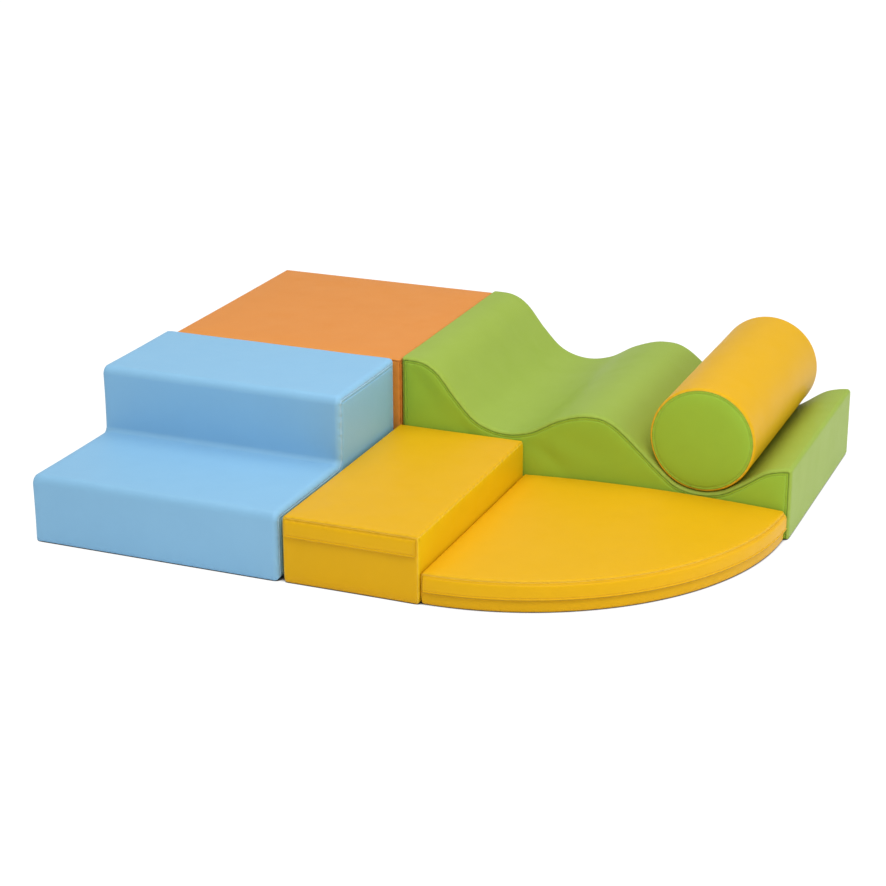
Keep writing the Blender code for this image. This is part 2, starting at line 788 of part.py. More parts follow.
def wave_corners():
    """The wave's side view, from its floor line round the tail and back over the hills."""
    scale = Vector((WAVE_LENGTH, WAVE_HEIGHT))
    hills = [Vector(share) * scale for share in HILL_SHARES]
    tail = [Vector(share) * scale for share in TAIL_SHARES]
    crest, end = Vector((0, WAVE_HEIGHT)), Vector((WAVE_LENGTH, TAIL_HEIGHT))
    arc = seat_arc()
    left = smooth_curve([crest, *hills, arc[0]], CURVE_STEPS)
    right = smooth_curve([arc[-1], *tail, end], CURVE_STEPS)
    top = left[1:] + arc[1:-1] + right[:-1]
    corners = [
        (Vector((0, 0)), CORNER_ROUND, 0),
        (Vector((WAVE_LENGTH, 0)), CORNER_ROUND, 1),
        (end, CORNER_ROUND, 0),
    ]
    corners += [(spot, 0, 0) for spot in reversed(top)]
    corners.append((crest, CORNER_ROUND, 2))
    return corners


def build_wave():
    place = Vector((MODULE_GAP / 2, MODULE_GAP / 2, 0)) - MIDDLE
    home = new_empty("wave_frame", place)
    reach = FACE_REACH
    along_lines = (reach, *(WAVE_LENGTH * s for s in FACE_LINE_SHARES), WAVE_LENGTH - reach)
    form = soft_form(
        wave_corners(),
        BACK_DEPTH,
        frame_of((1, 0, 0), (0, 0, 1), (0, BACK_DEPTH, 0)),
        rounds=(FACE_ROUND, FACE_ROUND),
        crowns=(FACE_CROWN, FACE_CROWN),
        cap_reach=FACE_REACH,
        floor=WAVE_HEIGHT,
        draw=0,
        lines=(along_lines, (reach, WAVE_ZIP_HEIGHT + 2 * TAPE_HALF, WAVE_HEIGHT / 2)),
    )
    along, out = Vector((1, 0, 0)), Vector((0, 1, 0))
    start = Vector((WAVE_ZIP_PLACE, BACK_DEPTH, WAVE_ZIP_HEIGHT))
    recess = straight_zip("wave", home, start, along, out, ZIP_LENGTH)
    slot = slot_planes(start, along, out, ZIP_LENGTH, BACK_DEPTH / 2)
    foam("wave_foam", form, home, recess)
    seam = FACE_CROWN + FACE_ROUND * FACE_SEAM_SHARE
    foot = shift(2, SOLE_RIM, -1)
    far = BACK_DEPTH - seam
    panel("wave_wrap", form, "leaf_green", home, [shift(1, seam, -1), shift(1, far, 1), foot])
    panel("wave_front", form, "leaf_green", home, [shift(1, seam, 1), foot])
    panel("wave_back", form, "leaf_green", home, [shift(1, far, -1), foot], slot)
    sole("wave_sole", form, home)
    parked = start + along * (SLIDER_MARGIN + SLIDER_LENGTH / 2)
    add_slider("wave", home, parked, along, out)


def build_roller():
    place = Vector((MODULE_GAP / 2 + SEAT_PLACE, MODULE_GAP / 2, ROLLER_HEIGHT)) - MIDDLE
    home = new_empty("roller_frame", place)
    corners = []
    for k in range(ROLLER_SIDES):
        angle = 2 * math.pi * k / ROLLER_SIDES
        spot = Vector((math.cos(angle), math.sin(angle))) * ROLLER_RADIUS
        corners.append((spot, 0, 0))
    form = soft_form(
        corners,
        ROLLER_LENGTH,
        frame_of((1, 0, 0), (0, 0, 1), (0, ROLLER_LENGTH, 0)),
        rounds=(ROLLER_ROUND, ROLLER_ROUND),
        crowns=(DISC_CROWN, DISC_CROWN),
        cap_rings=(DISC_REACH / 2, DISC_REACH),
        side_crown=ROLLER_CROWN,
        draw=0,
    )
    seam = DISC_CROWN + ROLLER_ROUND * (1 - math.cos(DISC_SEAM_ANGLE))
    far = ROLLER_LENGTH - seam
    path = (roller_zip_spot, (0, 0, 0), (0, -1, 0), ROLLER_ZIP_START, ROLLER_ZIP_END, ROLLER_ZIP_STEPS)
    recess, slot = arc_zip("roller", home, path, ROLLER_ZIP_RADIUS)
    foam("roller_foam", form, home, recess)
    panel("roller_tube", form, "yellow", home, [shift(1, seam, -1), shift(1, far, 1)])
    panel("roller_front_disc", form, "leaf_green", home, [shift(1, seam, 1)])
    disc = panel("roller_back_disc", form, "leaf_green", home, [shift(1, far, -1)])
    cut_away(disc, slot)
    angle = ROLLER_ZIP_START + (SLIDER_MARGIN + SLIDER_LENGTH / 2) / ROLLER_ZIP_RADIUS
    along = Vector((-math.sin(angle), 0, math.cos(angle)))
    add_slider("roller", home, roller_zip_spot(angle, 0, 0), along, Vector((0, 1, 0)))


def roller_zip_spot(angle, reach, height):
    """A point of the zip's section at an angle round the roller's back disc."""
    way = Vector((math.cos(angle), 0, math.sin(angle)))
    return way * (ROLLER_ZIP_RADIUS + height) + Vector((0, ROLLER_LENGTH + reach, 0))


def build_pad():
    place = Vector((PAD_PLACE, -MODULE_GAP / 2 - PAD_DEPTH, 0)) - MIDDLE
    home = new_empty("pad_frame", place)
    size = (PAD_WIDTH, PAD_DEPTH, PAD_HEIGHT)
    form = soft_form(
        box_corners(PAD_WIDTH, PAD_DEPTH, CORNER_ROUND, 1),
        PAD_HEIGHT,
        Matrix.Identity(4),
        lines=box_lines(PAD_WIDTH, PAD_DEPTH, TOP_REACH),
    )
    along, out = Vector((1, 0, 0)), Vector((0, -1, 0))
    length = PAD_WIDTH - 2 * PAD_ZIP_MARGIN
    start = Vector((PAD_ZIP_MARGIN, 0, PAD_HEIGHT - PAD_ZIP_DROP))
    recess = straight_zip("pad", home, start, along, out, length)
    slot = slot_planes(start, along, out, length, PAD_DEPTH / 2)
    foam("pad_foam", form, home, recess)
    box_cover("pad", form, "yellow", home, size, {"front": slot})
    sole("pad_sole", form, home)
    parked = start + along * (SLIDER_MARGIN + SLIDER_LENGTH / 2)
    add_slider("pad", home, parked, along, out, -1)
    line = flap_line(crown_drop(FLAP_DROP, CROWN, CROWN_REACH), PAD_FLAP_HEIGHT)
    bm = bmesh.new()
    ends = []
    for x in (PAD_FLAP_MARGIN, PAD_WIDTH / 2, PAD_WIDTH - PAD_FLAP_MARGIN):
        ends.append([bm.verts.new((x, line[0][0] - COVER - reach, drop)) for reach, drop in line])
    for low, high in zip(ends, ends[1:]):
        for i in range(1, len(line)):
            bm.faces.new((low[i - 1], low[i], high[i], high[i - 1]))
    hinge = Vector((0, COVER - line[0][0], PAD_HEIGHT - FLAP_DROP))
    add_shell(new_part("pad_flap", mesh_from("pad_flap", bm), "yellow", home, hinge), COVER)


def mat_corners():
    corners = [(Vector((0, -MAT_RADIUS)), CORNER_ROUND, 0)]
    for k in range(1, MAT_STEPS):
        angle = math.pi / 2 * (k / MAT_STEPS - 1)
        corners.append((Vector((math.cos(angle), math.sin(angle))) * MAT_RADIUS, 0, 0))
    corners.append((Vector((MAT_RADIUS, 0)), CORNER_ROUND, 3))
    corners.append((Vector((0, 0)), CORNER_ROUND, 3))
    return corners


def build_mat():
    place = Vector((PAD_PLACE + PAD_WIDTH + MODULE_GAP, -MODULE_GAP / 2, 0)) - MIDDLE
    home = new_empty("mat_frame", place)
    near = TOP_REACH / 2
    stops = (near, TOP_REACH, MAT_RADIUS / 2, MAT_RADIUS - TOP_REACH, MAT_RADIUS - near)
    form = soft_form(
        mat_corners(),
        MAT_HEIGHT,
        Matrix.Identity(4),
        lines=(stops, tuple(-stop for stop in stops)),
    )
    trim = MAT_STEP * MAT_ZIP_SKIP
    start, steps = trim - math.pi / 2, MAT_STEPS - 2 * MAT_ZIP_SKIP
    path = (mat_zip_spot, (0, 0, 0), (0, 0, 1), start, -trim, steps)
    recess, slot = arc_zip("mat", home, path, MAT_RADIUS)
    foam("mat_foam", form, home, recess)
    seam = MAT_HEIGHT - TOP_CROWN - EDGE_ROUND * EDGE_SEAM_SHARE
    skirt = [shift(2, seam, 1), shift(2, SOLE_RIM, -1)]
    outer, inner = mitre((MAT_RADIUS, 0), (-1, 1)), mitre((MAT_RADIUS, 0), (1, -1))
    panel("mat_top", form, "yellow", home, [shift(2, seam, -1)])
    rim = panel("mat_rim", form, "yellow", home, [*skirt, outer])
    panel("mat_left", form, "yellow", home, [*skirt, inner, mitre((0, 0), (1, 1))])
    panel("mat_back", form, "yellow", home, [*skirt, inner, mitre((0, 0), (-1, -1))])
    sole("mat_sole", form, home)
    cut_away(rim, slot)
    for piece in home.children:
        if piece.name in SWOLLEN:
            swell(piece.data)
    angle = start + (SLIDER_MARGIN + SLIDER_LENGTH / 2) / MAT_RADIUS
    out = Vector((math.cos(angle), math.sin(angle), 0))
    add_slider("mat", home, mat_zip_spot(angle, 0, 0), Vector((-out.y, out.x, 0)), out)
    build_mat_flap(home)


def swell(mesh):
    """Lifts the mat towards the middle of its straight back edge, none at the floor or rim."""
    for vert in mesh.vertices:
        x, y, z = vert.co
        chord = math.sqrt(max(MAT_RADIUS**2 - x**2, MERGE))
        along = min(max(x / MAT_RADIUS, 0), 1)
        depth = min(max(1 + y / chord, 0), 1)
        vert.co.z += MAT_SWELL * 4 * along * (1 - along) * depth**2 * z / MAT_HEIGHT


def mat_zip_spot(angle, reach, height):
    """A point of the zip's section at an angle along the mat's round edge."""
    way = Vector((math.cos(angle), math.sin(angle), 0)) * (MAT_RADIUS + reach)
    return way + Vector((0, 0, MAT_HEIGHT - MAT_ZIP_DROP + height))


def build_mat_flap(home):
    line = flap_line(crown_drop(FLAP_DROP, CROWN, CROWN_REACH), MAT_FLAP_HEIGHT)
    bm = bmesh.new()
    trim = MAT_FLAP_MARGIN / MAT_RADIUS
    angles = [trim, *(MAT_STEP * k for k in range(1, MAT_STEPS)), math.pi / 2 - trim]
    rows = []
    for angle in angles:
        chord = math.cos(MAT_STEP / 2) / math.cos(angle % MAT_STEP - MAT_STEP / 2)
        way = Vector((math.cos(angle - math.pi / 2), math.sin(angle - math.pi / 2), 0))
        rows.append([
            bm.verts.new((*(way * (MAT_RADIUS + reach) * chord).xy, MAT_HEIGHT - FLAP_DROP + drop))
            for reach, drop in line
        ])
    for low, high in zip(rows, rows[1:]):
        for i in range(1, len(line)):
            bm.faces.new((low[i - 1], low[i], high[i], high[i - 1]))
    bmesh.ops.recalc_face_normals(bm, faces=bm.faces)
    bm.faces.ensure_lookup_table()
    outward = bm.faces[0].calc_center_median()
    if bm.faces[0].normal.xy.dot(outward.xy) < 0:
        bmesh.ops.reverse_faces(bm, faces=bm.faces)
    add_shell(new_part("mat_flap", mesh_from("mat_flap", bm), "yellow", home), COVER)


clear_scene()
PARTS = new_collection("foam_climber")
CUTTERS = new_collection("cutters")
MATERIALS = {name: new_material(name) for name in COLOURS}
SLIDER = slider_mesh()
PULL = pull_mesh()
build_wave()
build_roller()
build_block()
build_stair()
build_pad()
build_mat()
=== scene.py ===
"""Soft play climber dressed for its photograph: sewn leatherette over foam modules.

Every cover panel is a thin sheet on the module's soft form. Its edges roll inwards at the
seams. The forms repeat the outlines of the CAD source, in metres and in the same frame.
"""

import json
import math
from functools import partialmethod

import bmesh
import bpy
import numpy as np
from mathutils import Matrix, Vector, noise

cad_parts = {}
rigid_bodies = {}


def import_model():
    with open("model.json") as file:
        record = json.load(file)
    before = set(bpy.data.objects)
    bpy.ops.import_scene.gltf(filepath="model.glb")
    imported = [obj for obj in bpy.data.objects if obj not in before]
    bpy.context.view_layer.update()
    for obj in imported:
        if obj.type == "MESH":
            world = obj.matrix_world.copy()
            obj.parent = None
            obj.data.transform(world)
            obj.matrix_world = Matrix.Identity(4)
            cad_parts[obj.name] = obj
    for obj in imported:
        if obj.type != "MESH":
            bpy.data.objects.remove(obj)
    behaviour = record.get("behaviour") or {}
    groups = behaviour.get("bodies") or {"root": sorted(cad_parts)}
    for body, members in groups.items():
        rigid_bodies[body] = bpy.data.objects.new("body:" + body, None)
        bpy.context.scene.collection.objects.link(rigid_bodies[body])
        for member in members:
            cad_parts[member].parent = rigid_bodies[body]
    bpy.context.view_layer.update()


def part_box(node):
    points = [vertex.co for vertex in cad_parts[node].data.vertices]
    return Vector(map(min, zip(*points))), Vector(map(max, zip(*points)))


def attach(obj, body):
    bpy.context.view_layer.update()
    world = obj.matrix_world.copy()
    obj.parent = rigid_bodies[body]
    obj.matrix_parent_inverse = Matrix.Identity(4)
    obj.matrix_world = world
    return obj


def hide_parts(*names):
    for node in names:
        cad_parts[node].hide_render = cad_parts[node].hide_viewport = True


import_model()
WAVE_CORNER = np.array([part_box("wave_wrap")[0][0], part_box("wave_front")[0][1], 0])

# Studio: the white floor, which a painted contact shadow darkens under the modules, the room and
# the lights
FLOOR_SIZE, FLOOR_GREY, FLOOR_GLOW, FLOOR_WHITE = 40, 0.93, 0.90, 1.12
# painted contact shadow on the seen floor: how far it reaches, where it starts to darken, how fast
# it rises to white, and its samples
PAINTED_SHADOW_REACH, PAINTED_SHADOW_START, PAINTED_SHADOW_RISE, PAINTED_SHADOW_SAMPLES = 0.050, 0.24, 4.2, 32
ROOM_LIGHT, SKY_WHITE = 0.44, 1.0
LIGHTS = {  # place, size and power
    "key": ((1.6, -2.0, 3.4), 2.4, 60),
    "top": ((-0.4, 0.4, 3.6), 3.0, 43),
    "right": ((3.4, 0.3, 1.6), 2.0, 21),
}

# Camera, fitted to the modules' corners in the photograph and placed from the wave's corner
AZIMUTH, ELEVATION, ROLL = 0.39228552, 0.35290627, -0.00361086
CAMERA_PLACE, CORNER_TO_FIT = (1.8281930, -4.1717417, 1.7768358), (0.0003, 0.0003, 0)
SENSOR, FOCAL_PIXELS, PHOTO_PIXELS = 36, 2141.8533, 886

# Sheets
SHEET, HEM_RADIUS, HEM_TUCK, HEM_GAP = 0.0008, 0.0013, 0.0022, 0.0003
HEM_PULL = HEM_RADIUS + HEM_GAP
PANEL_RUMPLE, END_RUMPLE, ROLLER_RUMPLE, FLAP_RUMPLE = 0.0010, 0.0014, 0.0008, 0.0003
HEMS = {None: ("low", "high", "left", "right"), 0: ("high",), 1: ("low",)}
FINE, COARSE, SLOPE, SIDE_STEP = 0.0014, 0.0090, 0.20, 0.006
CAP_STEP, CURVE_STEP, DISC_STEP, FLAP_STEP, FOAM_STEP = 0.0075, 0.0075, 0.0060, 0.006, 0.018
CAP_END, CAP_EDGE, CAP_COARSE, CAP_FINE = 0.985, 0.005, 0.011, 0.0010
SAMPLES, LINE_STEPS, ZIP_STEPS, BAR_STEPS, ROUND_STEPS = 4000, 1200, 240, 160, 24
RUMPLE_BROAD, RUMPLE_SMALL, RUMPLE_FADE, FOLD_FADE = 0.120, 0.048, 0.040, 0.030
FOAM_INSET = 0.0058

# Soft shape, as in the CAD source
CROWN, CROWN_REACH, SEAM_DRAW = 0.0022, 0.022, 0.0012
FACE_CROWN, FACE_REACH = 0.0022, 0.034
TOP_CROWN, TOP_REACH = 0.0025, 0.070
EDGE_ROUND, FACE_ROUND, SOLE_ROUND, CORNER_ROUND = 0.0065, 0.0080, 0.0060, 0.0065
LEAST_ROUND, CORNER_REACH = 0.0004, 0.025
NOSE_ROUND, FOLD_ROUND = 0.020, 0.012
EDGE_SEAM, FACE_SEAM = math.acos(1 - 0.65), math.acos(1 - 0.06)
SOLE_SEAM, FOOT_SEAM, DISC_SEAM = (math.radians(angle) for angle in (20, 76, 28))
FOOT_LIFT, FOOT_REACH = 0.0004, 0.006
DISC_CROWN, DISC_REACH, ROLLER_CROWN, ROLLER_ROUND = 0.004, 0.030, 0.0010, 0.008
ROLLER_SIDES, ROLLER_SEAM = 160, math.radians(100)
STEP_HEIGHT, STEP_TREAD, STAIR_DEPTH, STAIR_HEIGHT, FOAM_GLUE = 0.150, 0.305, 0.600, 0.300, 0.001
STAIR_FULL, STAIR_ROUND, STAIR_SIDE_ROUND, PAD_FULL = 0.003, 0.0060, 0.0120, 0.003
TAIL_ROUND, TAIL_RISE = 0.0090, 0.004
STAIR_SPINE = ((0.07, 0.07), (0.50, 0.075), (0.50, 0.20), (0.42, 0.20), (0.37, 0.10), (0.07, 0.08))
WAVE_SPINE = ((0.05, 0.042), (0.84, 0.042))
HILL_SHARES = (
    (0.058, 0.990), (0.103, 0.912), (0.152, 0.736), (0.206, 0.584), (0.273, 0.528),
    (0.342, 0.563), (0.413, 0.677), (0.490, 0.740), (0.563, 0.692), (0.672, 0.414),
)
TAIL_SHARES = ((0.881, 0.384), (0.930, 0.483), (0.968, 0.521))
WAVE_HEIGHT, TAIL_HEIGHT, CREST_CLEAR, TAIL_CLEAR = 0.304, 0.158, 0.012, 0.010
SEAT_PLACE, SEAT_LOW, SEAT_EASE = 0.698, 0.0820, 0.0155
SEAT_HALF_ANGLE = math.radians(26)
MAT_HEIGHT, MAT_SWELL, MAT_STEPS, MAT_MIDDLE = 0.072, 0.010, 110, 0.41
COVER, FOAM_GAP = 0.0012, 0.0003
UPRIGHT, LYING = ((1, 0, 0), (0, 0, 1)), ((1, 0, 0), (0, 1, 0))

# Long soft folds: from x, z to x, z on a panel, then how deep and half how wide
FOLDS = {
    "wave_front_panel": (
        (0.300, 0.150, 0.400, 0.085, 0.0034, 0.020),
        (0.330, 0.185, 0.520, 0.125, 0.0016, 0.026),
        (0.020, 0.290, 0.110, 0.165, 0.0020, 0.022),
        (0.120, 0.200, 0.230, 0.060, 0.0022, 0.024),
        (0.640, 0.090, 0.500, 0.080, 0.0014, 0.020),
    ),
}

# Flaps
FLAP_DROP, FLAP_STAND = 0.0080, 0.0062
FLAP_SHARES = ((0.0, 0.0), (0.16, 0.66), (0.38, 0.86), (0.74, 0.88), (1.0, 0.80))
PAD_FLAP_HEIGHT, MAT_FLAP_HEIGHT, MAT_FLAP_MARGIN = 0.038, 0.035, 0.008
FLAP_SEW, FLAP_HEM, FLAP_SIDE = 0.0022, 0.0052, 0.0050
HEM_RISE, HEM_SINK, HEM_SPAN, SINK_HALF = 0.0011, 0.0006, 0.0040, 0.0009

# Thread and zips
THREAD, STITCH, STITCH_PITCH, THREAD_END = 0.0007, 0.0034, 0.0046, 0.004
THREAD_RISE = THREAD * 0.2
STITCH_IN, GROOVE, GROOVE_HALF = 0.0024, 0.0010, 0.0014
TAPE, TAPE_HALF, TAPE_RIB, TAPE_DIP, CHAIN_PROUD = 0.0008, 0.009, 0.0006, 0.0002, 0.0002
TOOTH_HALF, TOOTH_PITCH, TOOTH_HOOK, TOOTH_END = 0.0029, 0.0010, 0.0007, 0.001
SLOT_HALF, SLOT_END, SLOT_STITCH, SLOT_EDGE = 0.0054, 0.0010, 0.0076, 0.0008
MAT_ZIP_TRIM, ZIP_UNDER_FLAP = math.radians(10), 0.55
ROLLER_ZIP_RADIUS, ROLLER_ZIP_SPAN = 0.067, (math.radians(262), math.radians(472))


def box_of(*nodes):
    lows, highs = zip(*(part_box(node) for node in nodes))
    return np.min(lows, axis=0), np.max(highs, axis=0)


# Outlines


def unit(v):
    return v / np.maximum(np.linalg.norm(v, axis=-1, keepdims=True), 1e-12)


def left_of(v):
    return np.array((-v[1], v[0]))


def running(steps):
    """Distances along a line, from the lengths of its steps."""
    return np.concatenate([[0], np.cumsum(steps)])


class Outline:
    """A closed line in a plane, counter-clockwise, with rounded corners.

    A corner is its x, its y, its radius and whether the side after it draws in.
    """

    def __init__(self, corners):
        arcs = [self.arc(corners, i) for i in range(len(corners))]
        points, bows, ends = [], [], []
        for i, arc in enumerate(arcs):
            ends.append((len(points), len(points) + len(arc) - 1))
            points += arc
            bows += [0] * len(arc)
            start, end = arc[-1], arcs[(i + 1) % len(arcs)][0]
            cuts = int(np.linalg.norm(end - start) / SIDE_STEP)
            for k in range(1, cuts):
                share = k / cuts
                points.append(start + (end - start) * share)
                bows.append(4 * share * (1 - share) if corners[i][3] else 0)
        self.spots, self.bows = np.array(points), np.array(bows)
        steps = np.roll(self.spots, -1, 0) - self.spots
        self.places = running(np.linalg.norm(steps, axis=1))
        self.total = self.places[-1]
        tangents = unit(np.roll(self.spots, -1, 0) - np.roll(self.spots, 1, 0))
        self.normals = np.stack([-tangents[:, 1], tangents[:, 0]], 1)
        self.spans = [(self.places[a], self.places[b]) for a, b in ends]
        self.round_spans = [span for span, corner in zip(self.spans, corners) if corner[2]]
        self.bends = []
        for i, span in enumerate(self.spans):
            spot, along_in, along_out = self.ways(corners, i)
            turn, share = left_of(along_in) @ along_out, 1 + along_in @ along_out
            if corners[i][2] and turn > 0:
                shift = (left_of(along_in) + left_of(along_out)) / share
                slope = turn / share
                self.bends.append((span, spot, corners[i][2], slope, shift, along_in, along_out))

    @staticmethod
    def ways(corners, i):
        """A corner's place, and the directions into it and out of it."""
        before, spot, after = (
            np.array(corners[k % len(corners)][:2], float) for k in (i - 1, i, i + 1)
        )
        return spot, unit(spot - before), unit(after - spot)

    @classmethod
    def arc(cls, corners, i):
        spot, along_in, along_out = cls.ways(corners, i)
        radius = corners[i][2]
        if not radius:
            return [spot]
        turn = math.atan2(left_of(along_in) @ along_out, along_in @ along_out)
        start = spot - along_in * radius * math.tan(abs(turn) / 2)
        middle = start + left_of(along_in) * radius * math.copysign(1, turn)
        spoke = start - middle
        steps = max(8, int(abs(turn) / 0.09))
        angles = turn * np.arange(steps + 1) / steps
        return [middle + (spoke * math.cos(a) + left_of(spoke) * math.sin(a)) for a in angles]

    def at(self, s):
        """Spots, inward normals and shares of the seams' draw at places along the line."""
        s = np.mod(s, self.total)

        def read(values):
            return np.interp(s, self.places, np.append(values, values[0]))

        spots, normals = (
            np.stack([read(a[:, 0]), read(a[:, 1])], -1) for a in (self.spots, self.normals)
        )
        return spots, unit(normals), read(self.bows)

    def moved(self, s, move):
        """Points of the line moved inwards, with corners that sharpen but never cross over."""
        spots, normals, _ = self.at(s)
        q = spots + normals * move[..., None]
        s = np.mod(s, self.total)
        for (low, high), spot, radius, slope, shift, along_in, along_out in self.bends:
            rest = np.maximum(radius - move, LEAST_ROUND)
            slide = np.maximum(0, move + rest - radius) * slope
            inside = np.mod(s - low, self.total) <= high - low
            centre = spot + shift * (move + rest)[..., None]
            q = np.where(inside[..., None], centre - normals * rest[..., None], q)
            before, after = np.mod(low - s, self.total), np.mod(s - high, self.total)
            for gap, way in ((before, -along_in), (after, along_out)):
                near = np.where(inside, 0, np.maximum(0, 1 - gap / CORNER_REACH))
                q = q + way * (slide * near)[..., None]
        return q

    def middle(self, corner):
        return sum(self.spans[corner]) / 2

    def stops(self, start, end, coarse=COARSE):
        """Places along the line, close together on its rounded corners."""
        marks = [(a + k * self.total, b + k * self.total) for a, b in self.round_spans
                 for k in (-1, 0, 1)]
        return graded(start, end, marks, coarse)


def graded(start, end, marks, coarse=COARSE, fine=FINE):
    """Places from start to end, fine at the marked spans and coarse away from them."""
    s = np.linspace(start, end, SAMPLES)
    away = np.full(len(s), 1.0)
    for low, high in marks:
        away = np.minimum(away, np.maximum(0, np.maximum(low - s, s - high)))
    step = np.minimum(coarse, fine + SLOPE * away)
    count = running(np.diff(s) * (1 / step[1:] + 1 / step[:-1]) / 2)
    return np.interp(np.linspace(0, count[-1], max(3, int(round(count[-1]))) + 1), count, s)


def crown_drop(distance, crown, reach):
    return crown * np.maximum(0, 1 - distance / reach) ** 2


def to_ring(points, ring):
    """Distances from points to a closed polyline."""
    sides = np.roll(ring, -1, 0) - ring
    lengths = np.maximum((sides**2).sum(1), 1e-16)
    best = np.full(len(points), np.inf)
    for a, v, l2 in zip(ring, sides, lengths):
        share = np.clip(((points - a) @ v) / l2, 0, 1)
        best = np.minimum(best, np.linalg.norm(points - a - share[:, None] * v, axis=1))
    return best


def both(values):
    return values if isinstance(values, tuple) else (values, values)


def eased(share):
    return share * share * (3 - 2 * share)


class Form:
    """A module's soft form: its outline carried along an axis, as in the CAD source."""

    def __init__(self, line, length, place, axes, rounds=(SOLE_ROUND, EDGE_ROUND),
                 crowns=(0, TOP_CROWN), reach=TOP_REACH, side=CROWN, draw=SEAM_DRAW,
                 floor=None, lift=None, sewn=False):
        self.line, self.length, self.place = line, length, np.array(place, float)
        self.axes = np.array([*axes, np.cross(*axes)], float)
        self.rounds, self.crowns, self.reach = both(rounds), both(crowns), reach
        self.side, self.draw, self.floor, self.lift, self.sewn = side, draw, floor, lift, sewn

    def flat(self, s, level, inset):
        """Points of the outline at a level, moved in by an inset and the level's crown."""
        bows = self.line.at(s)[2]
        near = np.minimum(level, self.length - level)
        drop = crown_drop(near, self.side, CROWN_REACH)
        draw = self.draw * drop / self.side
        q = self.line.moved(s, inset + drop + draw * bows)
        if self.floor:
            fall = (drop + draw) * np.maximum(0, 1 - q[..., 1] / self.floor)
            q[..., 1] = np.maximum(q[..., 1] - fall, inset)
        return q

    def solid(self, q, level):
        level = np.broadcast_to(level, q.shape[:-1])
        points = q @ self.axes[:2] + level[..., None] * self.axes[2]
        if self.lift:
            points = points + self.axes[2] * self.lift(q, level)[..., None]
        return self.place + points

    def level(self, end, depth):
        return self.length - depth if end else depth

    def rounded(self, end, angle, inner=0):
        """Level and inset at an angle round the edge of an end."""
        radius = self.rounds[end]
        level = self.level(end, self.crowns[end] + inner + radius * (1 - np.cos(angle)))
        return np.array((level, inner + radius * (1 - np.sin(angle))))

    def profile(self, seams, coarse):
        """Level, inset and distance along a side's profile, from one seam to the other."""
        low, high = (self.rounded(end, np.linspace(seam, math.pi / 2, ROUND_STEPS))
                     for end, seam in enumerate(both(seams)))
        rows = np.hstack([low, high[:, ::-1]])
        way = running(np.hypot(*np.diff(rows)))
        marks = [(0, way[ROUND_STEPS - 1]), (way[ROUND_STEPS], way[-1])]
        t = graded(HEM_PULL, way[-1] - HEM_PULL, marks, coarse)
        levels, insets = (np.interp(t, way, values)[:, None] for values in rows)
        return levels, insets, t, way[-1]

    def wall(self, start, end, seams, coarse=COARSE):
        """Grid of a side: rows up the profile, columns along the outline."""
        s = self.line.stops(start + HEM_PULL, end - HEM_PULL, coarse)
        levels, insets, t, height = self.profile(seams, coarse)
        points = self.solid(self.flat(s, levels, insets), levels)
        along, ups = np.meshgrid(s - start, t)
        away_rows, away_ends = np.minimum(ups, height - ups), np.minimum(along, end - s)
        close = away_rows < away_ends
        seam = np.stack([np.where(close, along, ups), np.minimum(away_rows, away_ends)], -1)
        return points, seam

    def cap(self, end, angles, spine, coarse=CAP_STEP):
        """Grid of an end: rings over its round and then in towards a spine."""
        s = self.line.stops(0, self.line.total, coarse)[:-1]
        radius, crown = self.rounds[end], self.crowns[end]
        angle = angles(s) if callable(angles) else np.full(len(s), angles)
        rows, seams = [], []
        for share in np.linspace(1, 0, 6):
            a = (angle - HEM_PULL / radius) * share
            level, inset = self.rounded(end, a)
            rows.append(self.solid(self.flat(s, level, inset), level))
            seams.append(np.stack([s, radius * (angle - a)], -1))
        ring = self.flat(s, self.level(end, crown), radius)
        targets = self.targets(s, ring, np.array(spine, float))
        far = np.linalg.norm(ring - targets, axis=1).max()
        for stop in graded(0, far * CAP_END, [(0, CAP_EDGE)], CAP_COARSE, CAP_FINE)[1:]:
            q = ring + (targets - ring) * stop / far
            away = to_ring(q, ring)
            depth = crown_drop(away, crown, self.reach) if crown else np.zeros(len(s))
            if self.sewn:
                depth = depth + GROOVE * np.exp(-((away - STITCH_IN) / GROOVE_HALF) ** 2)
            rows.append(self.solid(q, self.level(end, depth)))
            seams.append(np.stack([s, away + radius * angle], -1))
        if not end:
            rows, seams = rows[::-1], seams[::-1]
        return np.array(rows), np.array(seams)

    def targets(self, s, ring, spine):
        """Where the rings of an end face run to: a spine, or a place for each corner."""
        if len(spine) > 2:
            places = [self.line.middle(i) for i in range(len(spine))]
            return np.stack([np.interp(s, places, spine[:, k], period=self.line.total)
                             for k in (0, 1)], -1)
        low, axis = spine[0], spine[1] - spine[0]
        share = np.clip((ring - low) @ axis / max(axis @ axis, 1e-12), 0, 1)
        return low + share[:, None] * axis

    def face_line(self, end, start, stop):
        """The stitch line on an end face, and the way the face looks."""
        s = np.linspace(start, stop, LINE_STEPS)
        radius, crown = self.rounds[end], self.crowns[end]
        depth = crown_drop(STITCH_IN, crown, self.reach) + GROOVE * 0.8
        q = self.flat(s, self.level(end, crown), radius + STITCH_IN)
        way = self.axes[2] * (1 if end else -1)
        return self.solid(q, self.level(end, depth)), np.repeat(way[None], len(s), 0)


# Sheets


def grid_normals(points, closed):
    down = np.gradient(points, axis=0)
    if closed:
        across = np.roll(points, -1, 1) - np.roll(points, 1, 1)
    else:
        across = np.gradient(points, axis=1)
    return unit(np.cross(across, down))


